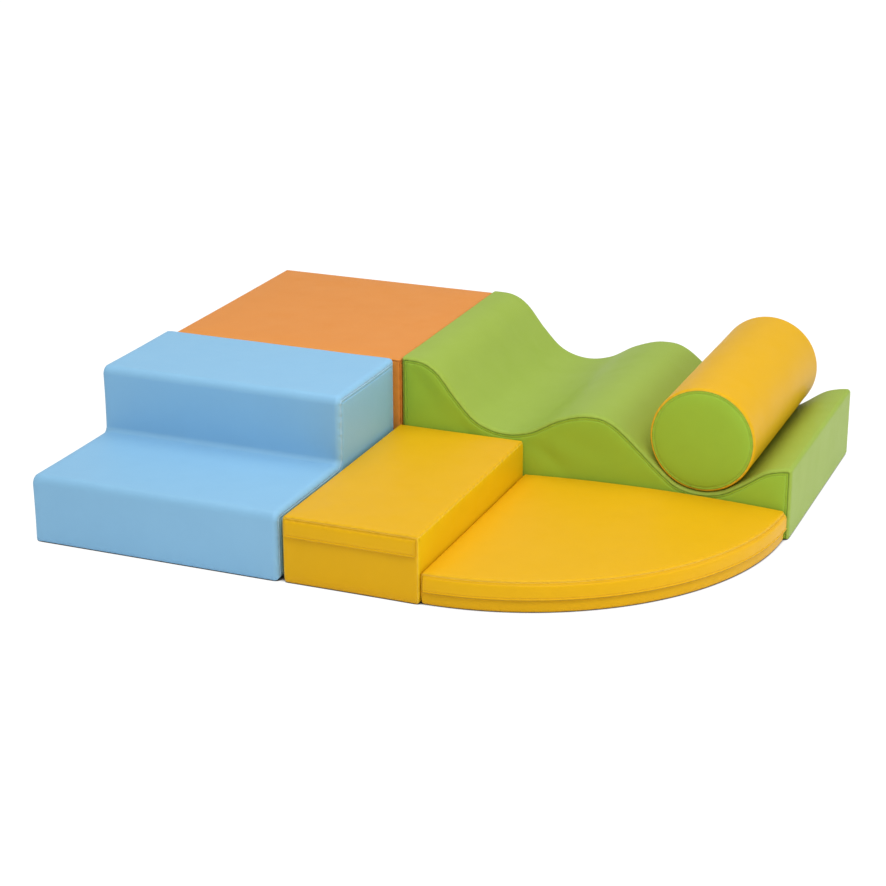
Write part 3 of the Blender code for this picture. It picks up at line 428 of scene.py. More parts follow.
def turn_in(points, normals, seam, side):
    """Rolls one edge of a grid inwards, as cloth does at a seam, and tucks it under."""
    turns = ("high", "left", "low", "right").index(side)
    p, n, u = (np.rot90(a, turns) for a in (points, normals, seam))
    out = p[-1] - p[-2]
    out = unit(out - n[-1] * (out * n[-1]).sum(-1)[..., None])
    new = [p[-1] + (out * math.sin(a) - n[-1] * (1 - math.cos(a))) * HEM_RADIUS
           for a in (math.pi / 6, math.pi / 3, math.pi / 2)]
    new.append(new[-1] - n[-1] * HEM_TUCK)
    more = (new, [n[-1]] * len(new), [u[-1] * (1, 0)] * len(new))
    return [np.rot90(np.concatenate(pair), -turns) for pair in zip((p, n, u), more)]


def dent(points, normals, seam, folds):
    """Long soft folds pressed into a panel of the wave."""
    depth = np.zeros(points.shape[:2])
    for x, z, end_x, end_z, deep, half in folds:
        start, axis = WAVE_CORNER + (x, 0, z), np.array((end_x - x, 0, end_z - z))
        share = np.clip((points - start) @ axis / (axis @ axis), 0, 1)
        away = np.linalg.norm(points - start - share[..., None] * axis, axis=-1)
        depth += deep * np.sin(np.pi * (0.12 + 0.80 * share)) * np.exp(-((away / half) ** 2))
    fade = eased(np.clip(seam[..., 1] / FOLD_FADE, 0, 1))
    return points - normals * (depth * fade)[..., None]


def rumple(points, normals, seam, amount, seed):
    """Broad soft unevenness of stretched leatherette, inwards only and none at the seams."""
    values = np.array([
        noise.noise(Vector(p) / RUMPLE_BROAD + Vector((seed, 0, 0)))
        + 0.45 * noise.noise(Vector(p) / RUMPLE_SMALL + Vector((0, seed, 0)))
        for p in points.reshape(-1, 3)
    ]).reshape(points.shape[:2])
    fade = eased(np.clip(seam[..., 1] / RUMPLE_FADE, 0, 1))
    depth = amount * (0.5 + 0.6 * values).clip(0, 1.4) * fade
    return points - normals * depth[..., None]


def grid_mesh(name, points, seam, closed, caps=()):
    """A mesh of a grid's quads and caps, with a UV map of the seams unless it has none."""
    index = np.arange(points.shape[0] * points.shape[1]).reshape(points.shape[:2])
    right = np.roll(index, -1, 1) if closed else index[:, 1:]
    left = index if closed else index[:, :-1]
    faces = np.stack([left[:-1], right[:-1], right[1:], left[1:]], -1).reshape(-1, 4).tolist()
    faces += [index[-1].tolist() if end else index[0][::-1].tolist() for end in caps]
    mesh = bpy.data.meshes.new(name)
    mesh.from_pydata(points.reshape(-1, 3).tolist(), [], faces)
    if seam is not None:
        uv = seam.reshape(-1, 2)[np.concatenate(faces)]
        mesh.uv_layers.new(name="seams").data.foreach_set("uv", uv.ravel())
    return mesh


def pick(piece):
    bpy.ops.object.select_all(action="DESELECT")
    piece.select_set(True)
    bpy.context.view_layer.objects.active = piece


def link(name, data, look=None):
    """A new object in the scene, in a material where it has one."""
    piece = bpy.data.objects.new(name, data)
    bpy.context.collection.objects.link(piece)
    if look:
        data.materials.append(MATERIALS[look])
    return piece


def modify(piece, kind, **settings):
    pick(piece)
    modifier = piece.modifiers.new(kind, kind)
    for key, value in settings.items():
        setattr(modifier, key, value)
    bpy.ops.object.modifier_apply(modifier=modifier.name)


def smooth(piece, degrees):
    pick(piece)
    bpy.ops.object.shade_smooth_by_angle(angle=math.radians(degrees))


def declare(piece, body, node=None):
    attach(piece, body)
    if node:
        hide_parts(node)


def sheet(module, part, grid, shade, end=None, **how):
    """A cover panel: grid to mesh, edges turned in, given its thickness and declared."""
    name, closed = how.get("name", f"{module}_{part}_panel"), end is not None
    points, seam = grid
    normals = grid_normals(points, closed)
    points = rumple(points, normals, seam, how.get("rumple", PANEL_RUMPLE), len(name) * 1.7)
    if name in FOLDS:
        points = dent(points, normals, seam, FOLDS[name])
    normals = grid_normals(points, closed)
    for side in how.get("hems", HEMS[end]):
        points, normals, seam = turn_in(points, normals, seam, side)
    mesh = grid_mesh(name, points, seam, closed, (end,) if closed else ())
    area = sum(face.area for face in mesh.polygons)
    length = np.linalg.norm(np.diff(points[len(points) // 2], axis=0), axis=1).sum()
    width, length = how.get("flat", (area / length, length))
    piece = link(name, mesh, PAINTED_LIGHT_LOOKS.get(name, shade))
    modify(piece, "SOLIDIFY", thickness=SHEET, offset=-1)
    smooth(piece, 50)
    declare(piece, how.get("body", module), how.get("node", f"{module}_{part}"))
    return piece


def grip(module, grid, end=None, **how):
    sheet(module, "sole", grid, "sole_black", end, name=f"{module}_grip", rumple=0, **how)


def top_and_grip(module, form, shade, spine, flat):
    sheet(module, "top", form.cap(1, EDGE_SEAM, spine), shade, 1, flat=flat)
    grip(module, form.cap(0, SOLE_SEAM, spine), 0, flat=flat)


def foam(form, module, part="", keep=None):
    """The foam inside a cover: the form made smaller, closed at both ends."""
    s = form.line.stops(0, form.line.total, FOAM_STEP)[:-1]
    low, high = (form.rounded(end, np.linspace(0, math.pi / 2, 4), FOAM_INSET).T
                 for end in (0, 1))
    middles = [(low[0, 0] + (high[0, 0] - low[0, 0]) * share, FOAM_INSET)
               for share in (0.25, 0.5, 0.75)]
    rows = []
    for level, inset in [*low, *middles, *high[::-1]]:
        q = form.flat(s, level, inset)
        rows.append(form.solid(keep(q) if keep else q, level))
    name = f"{module}_{part}core"
    piece = link(name, grid_mesh(name, np.array(rows), None, True, (1, 0)), "foam_cream")
    smooth(piece, 40)
    declare(piece, module, f"{module}_{part}foam")


# Thread, teeth and other small things made once and copied


def take_shape():
    """Points and faces of the active piece, which is then thrown away."""
    piece = bpy.context.object
    shape = np.array([v.co for v in piece.data.vertices])
    faces = [tuple(face.vertices) for face in piece.data.polygons]
    bpy.data.objects.remove(piece)
    return shape, faces


def pull_faces(way, scale, move=None):
    """Scales the active piece's faces that look one way, after a move that extrudes them."""
    mesh = bpy.context.object.data
    bpy.ops.object.mode_set(mode="EDIT")
    bpy.ops.mesh.select_mode(type="FACE")
    bpy.ops.mesh.select_all(action="DESELECT")
    for face in bmesh.from_edit_mesh(mesh).faces:
        face.select_set(face.normal.dot(way) > 0.9)
    bmesh.update_edit_mesh(mesh)
    if move:
        bpy.ops.mesh.extrude_region_move(TRANSFORM_OT_translate={"value": move})
    bpy.ops.transform.resize(value=scale)
    bpy.ops.object.mode_set(mode="OBJECT")


def stitch_shape():
    """One stitch along x: a short bar of thread whose two ends dive into the cloth."""
    bpy.ops.mesh.primitive_cylinder_add(vertices=6, radius=THREAD / 2, depth=STITCH * 0.62,
                                        rotation=(0, math.pi / 2, 0))
    bpy.ops.object.transform_apply(rotation=True)
    for side in (-1, 1):
        pull_faces((side, 0, 0), (1, 0.55, 0.55), (side * STITCH * 0.19, 0, -THREAD * 0.45))
    return take_shape()


def tooth_shape():
    """One zip tooth across y: a block that narrows to its top and to its hooked end."""
    rise, reach = COVER + FOAM_GAP + CHAIN_PROUD, TOOTH_HALF + TOOTH_HOOK
    bpy.ops.mesh.primitive_cube_add(size=1)
    piece = bpy.context.object
    piece.scale = (TOOTH_PITCH * 0.82, reach, rise)
    piece.location = (0, reach / 2 - TOOTH_HOOK, rise / 2 - rise + CHAIN_PROUD)
    bpy.ops.object.transform_apply(location=True, scale=True)
    pull_faces((0, 0, 1), (0.62, 0.82, 1))
    pull_faces((0, -1, 0), (0.6, 1, 0.7), (0, -0.0005, 0))
    return take_shape()


def spaced(points, ups, pitch, skip=0.0):
    """Frames along a line at an even pitch: place, along, across and up."""
    way = running(np.linalg.norm(np.diff(points, axis=0), axis=1))
    run = way[-1] - 2 * skip
    count = max(1, int(round(run / pitch)))
    t = skip + (np.arange(count) + 0.5) * run / count

    def at(values, where):
        return np.stack([np.interp(where, way, values[:, k]) for k in range(3)], -1)

    along = unit(at(points, t + pitch / 2) - at(points, t - pitch / 2))
    up = at(ups, t)
    up = unit(up - along * (up * along).sum(1)[:, None])
    return np.stack([at(points, t), along, np.cross(up, along), up], 1)


def copies(name, shape, frames, body, look, degrees=40, node=None):
    """One piece made of a small shape's copies, one in each frame."""
    points, faces = shape
    spots = frames[:, None, 0] + np.einsum("vk,nkc->nvc", points, frames[:, 1:])
    many = [tuple(index + n * len(points) for index in face)
            for n in range(len(frames)) for face in faces]
    mesh = bpy.data.meshes.new(name)
    mesh.from_pydata(spots.reshape(-1, 3).tolist(), [], many)
    piece = link(name, mesh, look)
    smooth(piece, degrees)
    declare(piece, body, node)


def stitching(name, lines, body, shade):
    frames = np.concatenate([spaced(*line, STITCH_PITCH, THREAD) for line in lines])
    copies(name, STITCH_SHAPE, frames, body, "thread_" + shade)


# Zips


class Track:
    """A line that a zip or a flap follows.

    Its places come from a length along it, a height across it and a reach outwards.
    """

    def __init__(self, length, at):
        self.length, self.at = length, at

    def line(self, t, height, reach):
        """Places on the track, and the way outwards at each."""
        t, height, reach = np.broadcast_arrays(*(np.array(v, float) for v in (t, height, reach)))
        spots = self.at(t, height, reach)
        return spots, self.at(t, height, reach + 1) - spots

    def bar(self, name, section, start, end):
        """A closed section of (reach, height) points carried along the track."""
        t = np.linspace(start, end, BAR_STEPS)
        rows = np.array([self.at(t, h + 0 * t, r + 0 * t) for r, h in section]).swapaxes(0, 1)
        mesh = grid_mesh(name, rows, None, True, (0, 1))
        bm = bmesh.new()
        bm.from_mesh(mesh)
        bmesh.ops.recalc_face_normals(bm, faces=bm.faces)
        bm.to_mesh(mesh)
        bm.free()
        return mesh


def straight_track(module, out):
    """The track of a straight zip, from its node's box, starting at its parked slider."""
    low, high = box_of(f"{module}_zip")
    parked = sum(box_of(f"{module}_slider")) / 2
    out = np.array(out, float)
    axis, face = int(np.argmax(high - low)), int(np.argmax(np.abs(out)))
    along = np.zeros(3)
    along[axis] = 1 if parked[axis] - low[axis] < high[axis] - parked[axis] else -1
    start = (low + high) / 2
    start[axis] = low[axis] if along[axis] > 0 else high[axis]
    start[face] = (high if out[face] > 0 else low)[face] - out[face] * CHAIN_PROUD
    up = np.cross(along, out)

    def at(t, height, reach):
        return start + np.outer(t, along) + np.outer(height, up) + np.outer(reach, out)

    return Track(high[axis] - low[axis], at)


def open_slot(piece, track):
    """Cuts the zip's opening through a cover panel."""
    section = ((-0.004, -SLOT_HALF), (-0.004, SLOT_HALF), (0.003, SLOT_HALF), (0.003, -SLOT_HALF))
    block = track.bar("opening", section, -SLOT_END, track.length + SLOT_END)
    cutter = link("opening", block, "zip_tape")
    modify(piece, "BOOLEAN", operation="DIFFERENCE", solver="EXACT", object=cutter)
    bpy.data.objects.remove(cutter)
    while len(piece.data.materials) > 1:
        piece.data.materials.pop()


def dress_zip(module, panel, track, shade):
    """Opening, tape, teeth, turned edges and stitching of one zip."""
    open_slot(panel, track)
    length, front = track.length, -(COVER + FOAM_GAP)
    back = front - TAPE
    section = ((back, -TAPE_HALF), (back, TAPE_HALF), (front, TAPE_HALF), (front, TAPE_RIB),
               (front - TAPE_DIP, 0), (front, -TAPE_RIB), (front, -TAPE_HALF))
    tape = link(f"{module}_zip_band", track.bar("band", section, 0, length), "zip_tape")
    declare(tape, module, f"{module}_zip")
    frames = []
    for side, first in ((1, 0.0), (-1, 0.5)):
        low = TOOTH_END + first * TOOTH_PITCH
        high = length - TOOTH_END - (0.5 - first) * TOOTH_PITCH
        row = spaced(*track.line(np.linspace(low, high, ZIP_STEPS), 0, 0), 2 * TOOTH_PITCH)
        row[:, 0] += row[:, 1] * first * TOOTH_PITCH
        row[:, 1:3] *= side
        frames.append(row)
    copies(f"{module}_zip_teeth", TOOTH_SHAPE, np.concatenate(frames), module,
           "zip_teeth", 30, f"{module}_zip")
    for i, way in enumerate((1, -1)):
        middle = way * (SLOT_HALF + SLOT_EDGE)
        ring = [(SLOT_EDGE * 0.55 * math.sin(a) - 0.0003, middle + SLOT_EDGE * math.cos(a))
                for a in np.linspace(0, 2 * math.pi, 9)[:-1]]
        lip = link(f"{module}_zip_edge_{i + 1}",
                   track.bar("edge", ring, -SLOT_END, length + SLOT_END), shade)
        smooth(lip, 50)
        declare(lip, module)
    along = np.linspace(-THREAD_END, length + THREAD_END, ZIP_STEPS)
    across = np.linspace(-SLOT_STITCH, SLOT_STITCH, 12)
    rows = [track.line(along, height, THREAD_RISE) for height in (-SLOT_STITCH, SLOT_STITCH)]
    rows += [track.line(t, across, THREAD_RISE) for t in (along[0], along[-1])]
    stitching(module + "_zip_thread", rows, module, shade)


# Materials


class Maths:
    """A socket whose operators add shader maths nodes."""

    def __init__(self, tree, socket):
        self.tree, self.socket = tree, socket

    def join(self, operation, *others, clamp=False):
        node = self.tree.nodes.new("ShaderNodeMath")
        node.operation, node.use_clamp = operation, clamp
        for i, item in enumerate((self, *others)):
            if isinstance(item, Maths):
                self.tree.links.new(item.socket, node.inputs[i])
            else:
                node.inputs[i].default_value = item
        return Maths(self.tree, node.outputs[0])

    __add__ = __radd__ = partialmethod(join, "ADD")
    __mul__ = __rmul__ = partialmethod(join, "MULTIPLY")
    __sub__, __truediv__ = partialmethod(join, "SUBTRACT"), partialmethod(join, "DIVIDE")
    power, sine = partialmethod(join, "POWER"), partialmethod(join, "SINE")
    clamp = partialmethod(join, "ADD", 0, clamp=True)

    def __rsub__(self, other):
        return (self * -1) + other


MATERIALS = {}


class Shader:
    """One material's node tree, with a method for each kind of node it uses."""

    def __init__(self, name, **settings):
        self.material = MATERIALS[name] = bpy.data.materials.new(name)
        self.material.use_nodes = True
        self.tree = self.material.node_tree
        self.shader = self.tree.nodes["Principled BSDF"]
        self.set(**settings)

    def node(self, kind, settings=None, **inputs):
        node = self.tree.nodes.new("ShaderNode" + kind)
        for key, value in (settings or {}).items():
            setattr(node, key, value)
        for key, value in inputs.items():
            self.put(node.inputs[key], value)
        return node

    def put(self, socket, value):
        if isinstance(value, Maths):
            value = value.socket
        if isinstance(value, bpy.types.NodeSocket):
            self.tree.links.new(value, socket)
        elif socket.type == "RGBA" and len(value) == 3:
            socket.default_value = (*value, 1)
        else:
            socket.default_value = value

    def value(self, node, output=0):
        return Maths(self.tree, node.outputs[output])

    def place(self):
        return self.node("TexCoord").outputs["Object"]

    def noise(self, scale, detail=2.0, rough=0.5):
        return self.value(self.node("TexNoise", Vector=self.place(), Scale=scale, Detail=detail,
                                    Roughness=rough), "Fac")

    def cells(self, scale):
        return self.value(self.node("TexVoronoi", Vector=self.place(), Scale=scale), "Distance")

    def colour(self, factor, low, high):
        made = self.node("Mix", {"data_type": "RGBA"})
        for index, value in ((0, factor), (6, low), (7, high)):
            self.put(made.inputs[index], value)
        return made.outputs[2]

    def bump(self, height, strength, distance, **under):
        made = self.node("Bump", Height=height, Strength=strength, Distance=distance, **under)
        return made.outputs[0]

    def set(self, **values):
        for key, value in values.items():
            self.put(self.shader.inputs[key.replace("_", " ")], value)


def linear(code):
    """Linear colour of a hex code."""
    parts = [int(code[i:i + 2], 16) / 255 for i in (0, 2, 4)]
    return tuple(c / 12.92 if c <= 0.04045 else ((c + 0.055) / 1.055) ** 2.4 for c in parts)


def leather(name, code, deep, seam, rim):
    """Soft coated cover cloth: fine grain, faint blotches, puckers along the seams, and a painted
    seam colour next to each seam: a painted highlight where it is lighter than the face, painted
    shade where it is darker.
    """
    base, dark = np.array(linear(code)), np.array(linear(deep))
    it = Shader(name, Specular_IOR_Level=0.40, Coat_Roughness=0.40,
                Specular_Tint=tuple(1 - 0.75 * (1 - base / base.max())))
    split = it.node("SeparateXYZ", Vector=it.node("UVMap", {"uv_map": "seams"}).outputs[0])
    along, away = it.value(split, 0), it.value(split, 1)
    near = (1 - away / PUCKER_REACH).clamp()
    # painted highlight and painted shade next to the seams: a mask that fades out a few millimetres
    # from each seam
    edge = (1 - away / PAINTED_SEAM_REACH).clamp().power(1.4)
    grain, fine = it.cells(900.0), it.noise(2200.0)
    broad, clouds = it.noise(14.0, 3.0, 0.55), it.noise(46.0)
    scuff = (it.noise(7.0, 5.0, 0.7) - 0.56).clamp() * 3.0
    tone = (broad * 0.5 + clouds * 0.2 + 0.05 * grain).clamp()
    paint = it.colour(tone, tuple(base), tuple(base * 0.80 + dark * 0.20))
    pucker = (along * PUCKER_WAVES + it.noise(30.0) * 9.0).sine() * near * near
    soft = it.noise(11.0) + it.noise(34.0) * 0.35
    normal = it.bump(soft, 0.30, 0.0030)
    normal = it.bump(pucker, 0.55, 0.0011, Normal=normal)
    normal = it.bump(grain * 0.7 + fine * 0.3, 0.50, 0.00045, Normal=normal)
    # the rim colour mixed in by that mask is painted light: lighter rims paint a highlight on the
    # rolled edges, darker rims paint shade in the seam crevices
    it.set(Base_Color=it.colour(edge * seam, paint, linear(rim)), Normal=normal,
           Roughness=0.43 + broad * 0.10 + scuff * 0.10, Coat_Weight=0.03 + clouds * 0.03)


def toned(it, tone, low, high, rough, gain, strength, distance, relief=None):
    """Colour from one texture, and roughness and bump from that one or a relief."""
    relief = relief or tone
    it.set(Base_Color=it.colour(tone, low, high), Roughness=rough + relief * gain,
           Normal=it.bump(relief, strength, distance))


def thread(name, code):
    """Sewing thread in the cover's colour, a little paler, with its twist."""
    it, base = Shader("thread_" + name, Specular_IOR_Level=0.35), np.array(linear(code))
    pale = tuple(base * 0.6 + 0.4 * (base + 0.12).clip(0, 1))
    toned(it, it.noise(2600.0, 1.0), tuple(base * 0.86), pale, 0.62, -0.12, 0.4, 0.0002)


def fittings():
    """Grip soles, foam, and the zips' tape, teeth and metal."""
    it = Shader("sole_black", Specular_IOR_Level=0.3)
    dots = (0.34 - it.cells(210.0)).clamp() * 4.0
    it.set(Base_Color=it.colour(dots.clamp(), linear("1B1B1D"), linear("39393B")),
           Roughness=0.85 - dots * 0.25, Normal=it.bump(dots + it.noise(1400.0) * 0.3, 0.5, 0.0006))
    it = Shader("foam_cream", Specular_IOR_Level=0.2)
    toned(it, it.noise(18.0, 3.0), linear("E9DFBE"), linear("D9C894"), 0.95, -0.1, 0.6, 0.0008,
          it.cells(520.0))
    it = Shader("zip_tape", Specular_IOR_Level=0.3)
    toned(it, it.cells(1500.0), linear("2A2A2D"), linear("141416"), 0.75, -0.1, 0.5, 0.0003)
    it = Shader("zip_teeth", Specular_IOR_Level=0.5)
    toned(it, it.noise(300.0), linear("1A1A1C"), linear("2E2E32"), 0.34, 0.16, 0.1, 0.0001)
    it = Shader("zip_metal", Metallic=1.0)
    toned(it, it.noise(600.0, 3.0), linear("C9CACC"), linear("8E9094"), 0.28, 0.2, 0.25, 0.0001)


# the third is how far from a seam its painted highlight and painted shade reach
PUCKER_REACH, PUCKER_WAVES, PAINTED_SEAM_REACH = 0.016, 250.0, 0.0034
COVERS = {  # face, blotches, share of the painted light at the seam edges, and its colour: lighter for a painted highlight on the rolled edge, darker for painted shade in the seam's crevice
    "sky_blue": ("96CCEF", "5E93C6", 0.45, "CBE7F8"),
    "orange": ("EF9B46", "B8551A", 0.55, "9F4916"),
    "leaf_green": ("A4BE4D", "5F7A1E", 0.36, "51681A"),
    "yellow": ("F0B90D", "B98306", 0.50, "F9D65A"),
    # painted light: the same cloth as leaf_green, greener, for the faces that the light falls on
    # differently from the top
    "leaf_green_face_painted_light": ("A4CC44", "5F7A1E", 0.36, "51681A"),
    # painted shadow: the mat flap's free edge darkened strongly, on a face painted a little
    # brighter than yellow
    "yellow_flap_painted_shadow": ("F4BC10", "B98306", 0.85, "7A4803"),
    # painted shade: the pad flap's four edges darkened a little, on a face painted a little
    # brighter than yellow
    "yellow_pad_flap_painted_shade": ("F4BC10", "B98306", 0.32, "8A5A06"),
    # painted light: the same cloth as yellow, paler and more lemon, for the pad's side that the
    # light falls on differently
    "yellow_side_painted_light": ("F6CA0C", "B98306", 0.30, "F9D65A"),
}
THREADS = ("sky_blue", "orange", "leaf_green", "yellow")
PAINTED_LIGHT_LOOKS = {  # panels in copies of their module's cover with painted light: greener faces, a paler side, and brighter flaps with painted shadow along their edges
    "wave_front_panel": "leaf_green_face_painted_light",
    "wave_back_panel": "leaf_green_face_painted_light",
    "roller_front_panel": "leaf_green_face_painted_light",
    "roller_back_panel": "leaf_green_face_painted_light",
    "pad_right_panel": "yellow_side_painted_light",
    "pad_flap_panel": "yellow_pad_flap_painted_shade",
    "mat_flap_panel": "yellow_flap_painted_shadow",
}


# Box-shaped modules

SIDES = ("front", "right", "back", "left")


def dress_box(module, shade, zip_side, out, fuller=0):
    """Foam, four sides, top, sole and zip of a box-shaped module."""
    low, high = box_of(*(f"{module}_{side}" for side in SIDES))
    low[0] -= fuller
    width, depth = high[0] - low[0], high[1] - low[1]
    line = Outline([(x, y, CORNER_ROUND, True)
                    for x, y in ((0, 0), (width, 0), (width, depth), (0, depth))])
    form = Form(line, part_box(f"{module}_top")[1][2], (low[0], low[1], 0), LYING)
    foam(form, module)
    panels = {}
    for i, side in enumerate(SIDES):
        start, end = line.middle(i), line.middle((i + 1) % 4) + (line.total if i == 3 else 0)
        panels[side] = sheet(module, side, form.wall(start, end, (SOLE_SEAM, EDGE_SEAM)), shade)
    reach = min(width, depth) / 2
    spine = ((reach, reach), (width - reach, depth - reach))
    top_and_grip(module, form, shade, spine, (width, depth))
    dress_zip(module, panels[zip_side], straight_track(module, out), shade)


# Modules that are one side view carried across


def dress_profile(module, shade, form, spine, names, height):
    """Wrap, two ends, sole and stitching of a module whose first side is its floor."""
    line = form.line
    slip = CORNER_ROUND * math.acos(1 - FOOT_LIFT / CORNER_ROUND)
    first, last = line.spans[0][1] - slip, line.spans[1][0] + slip
    sheet(module, "wrap", form.wall(last, first + line.total, FACE_SEAM), shade)

    def angles(s):
        """Seam angle round an end: on the face along the wrap, underneath along the floor."""
        over = np.minimum(np.maximum(0, s - first), np.maximum(0, last - s))
        return FACE_SEAM + (FOOT_SEAM - FACE_SEAM) * eased(np.clip(over / FOOT_REACH, 0, 1))

    size = (line.spots[:, 0].max(), height)
    ends = [sheet(module, name, form.cap(end, angles, spine), shade, end, flat=size,
                  rumple=END_RUMPLE) for end, name in enumerate(names)]
    grip(module, form.wall(first, last, FOOT_SEAM))
    lines = [form.face_line(end, last + THREAD_END, first + line.total - THREAD_END)
             for end in (0, 1)]
    stitching(f"{module}_thread", lines, module, shade)
    return ends[0]


def dress_stair():
    low, high = box_of("stair_wrap", "stair_left", "stair_right")
    corners = [
        (0, 0, CORNER_ROUND, False),
        (STAIR_DEPTH, 0, CORNER_ROUND, False),
        (STAIR_DEPTH, STAIR_HEIGHT, CORNER_ROUND, True),
        (STEP_TREAD, STAIR_HEIGHT, NOSE_ROUND, True),
        (STEP_TREAD, STEP_HEIGHT, FOLD_ROUND, True),
        (0, STEP_HEIGHT, NOSE_ROUND, True),
    ]
    form = Form(Outline(corners), high[0] - low[0] + STAIR_FULL, low, ((0, 1, 0), (0, 0, 1)),
                (STAIR_ROUND, STAIR_SIDE_ROUND), FACE_CROWN, FACE_REACH,
                floor=STAIR_HEIGHT, sewn=True)
    left = dress_profile("stair", "sky_blue", form, STAIR_SPINE, ("left", "right"), STAIR_HEIGHT)

    def lower(q):
        return np.minimum(q, (np.inf, STEP_HEIGHT - FOAM_GLUE))

    def upper(q):
        q = np.maximum(q, (-np.inf, STEP_HEIGHT + FOAM_GLUE))
        resting = q[:, 1] <= STEP_HEIGHT + 2 * FOAM_GLUE
        q[resting, 0] = np.maximum(q[resting, 0], STEP_TREAD + FOAM_INSET)
        return q

    foam(form, "stair", "lower_", lower)
    foam(form, "stair", "upper_", upper)
    dress_zip("stair", left, straight_track("stair", (-1, 0, 0)), "sky_blue")


def smooth_curve(points, steps):
    """A curve through the points, from the neighbours' slopes at each of them."""
    p = np.array([points[0], *points, points[-1]])[:, None]
    leave, arrive = (p[2:-1] - p[:-3]) / 2, (p[3:] - p[1:-2]) / 2
    t = np.arange(steps)[:, None] / steps
    path = (p[1:-2] * (2 * t**3 - 3 * t**2 + 1) + leave * (t**3 - 2 * t**2 + t)
            + p[2:-1] * (3 * t**2 - 2 * t**3) + arrive * (t**3 - t**2))
    return [*path.reshape(-1, 2), points[-1]]


def wave_corners(length, radius):
    scale = np.array((length, WAVE_HEIGHT))
    hills, tail = np.array(HILL_SHARES) * scale, np.array(TAIL_SHARES) * scale
    crest, end = np.array((0, WAVE_HEIGHT)), np.array((length, TAIL_HEIGHT + TAIL_RISE))
    middle = np.array((SEAT_PLACE, SEAT_LOW + radius + SEAT_EASE))
    arc = [middle + np.array((math.sin(angle), -math.cos(angle))) * (radius + SEAT_EASE)
           for angle in SEAT_HALF_ANGLE * (np.arange(25) / 12 - 1)]
    left = smooth_curve([crest, *hills, arc[0]], 14)
    right = smooth_curve([arc[-1], *tail, end], 14)
    top = [p for p in left + arc[1:-1] + right
           if np.linalg.norm(p - crest) > CREST_CLEAR and np.linalg.norm(p - end) > TAIL_CLEAR]
    corners = [(0, 0, CORNER_ROUND, False), (length, 0, CORNER_ROUND, False),
               (*end, TAIL_ROUND, False)]
    corners += [(*spot, 0, False) for spot in reversed(top)]
    return corners + [(*crest, CORNER_ROUND, False)]


def dress_wave(radius):
    low, high = box_of("wave_wrap", "wave_front", "wave_back")
    line = Outline(wave_corners(high[0] - low[0], radius))
    form = Form(line, high[1] - low[1], (low[0], high[1], 0), UPRIGHT, FACE_ROUND, FACE_CROWN,
                FACE_REACH, draw=0, floor=WAVE_HEIGHT, sewn=True)
    back = dress_profile("wave", "leaf_green", form, WAVE_SPINE, ("back", "front"), WAVE_HEIGHT)
    foam(form, "wave")
    dress_zip("wave", back, straight_track("wave", (0, 1, 0)), "leaf_green")


def dress_roller():
    """Tube, discs, foam, zip and stitching of the roller, whose radius it returns."""
    low, high = box_of("roller_tube", "roller_front_disc", "roller_back_disc")
    radius = (high[0] - low[0]) / 2
    place = ((low[0] + high[0]) / 2, high[1], (low[2] + high[2]) / 2)
    turns = 2 * math.pi * np.arange(ROLLER_SIDES) / ROLLER_SIDES - ROLLER_SEAM
    line = Outline([(math.cos(a) * radius, math.sin(a) * radius, 0, False) for a in turns])
    form = Form(line, high[1] - low[1], place, UPRIGHT, ROLLER_ROUND, DISC_CROWN, DISC_REACH,
                side=ROLLER_CROWN, draw=0, sewn=True)
    tube = form.wall(0, line.total, DISC_SEAM, CURVE_STEP)
    sheet("roller", "tube", tube, "yellow", rumple=ROLLER_RUMPLE)
    for end, name in ((1, "front"), (0, "back")):
        grid = form.cap(end, DISC_SEAM, ((0, 0), (0, 0)), DISC_STEP)
        disc = sheet("roller", name, grid, "leaf_green", end, node=f"roller_{name}_disc",
                     flat=(2 * radius, 2 * radius), rumple=ROLLER_RUMPLE)
    foam(form, "roller")
    start, stop = ROLLER_ZIP_SPAN

    def at(t, height, reach):
        angle, away = start + t / ROLLER_ZIP_RADIUS, ROLLER_ZIP_RADIUS + height
        return np.stack([place[0] + away * np.cos(angle), place[1] + reach,
                         place[2] + away * np.sin(angle)], -1)

    dress_zip("roller", disc, Track((stop - start) * ROLLER_ZIP_RADIUS, at), "leaf_green")
    lines = [form.face_line(end, 0, line.total) for end in (0, 1)]
    stitching("roller_thread", lines, "roller", "leaf_green")
    return radius


# The quarter-round mat


def rim_track(place, radius, trim=0):
    """A track round the mat's rim, shorter by an angle at both ends."""

    def at(t, height, reach):
        angle = trim - math.pi / 2 + t / radius
        return np.stack([place[0] + (radius + reach) * np.cos(angle),
                         place[1] + (radius + reach) * np.sin(angle), place[2] + height], -1)

    return Track((math.pi / 2 - 2 * trim) * radius, at)


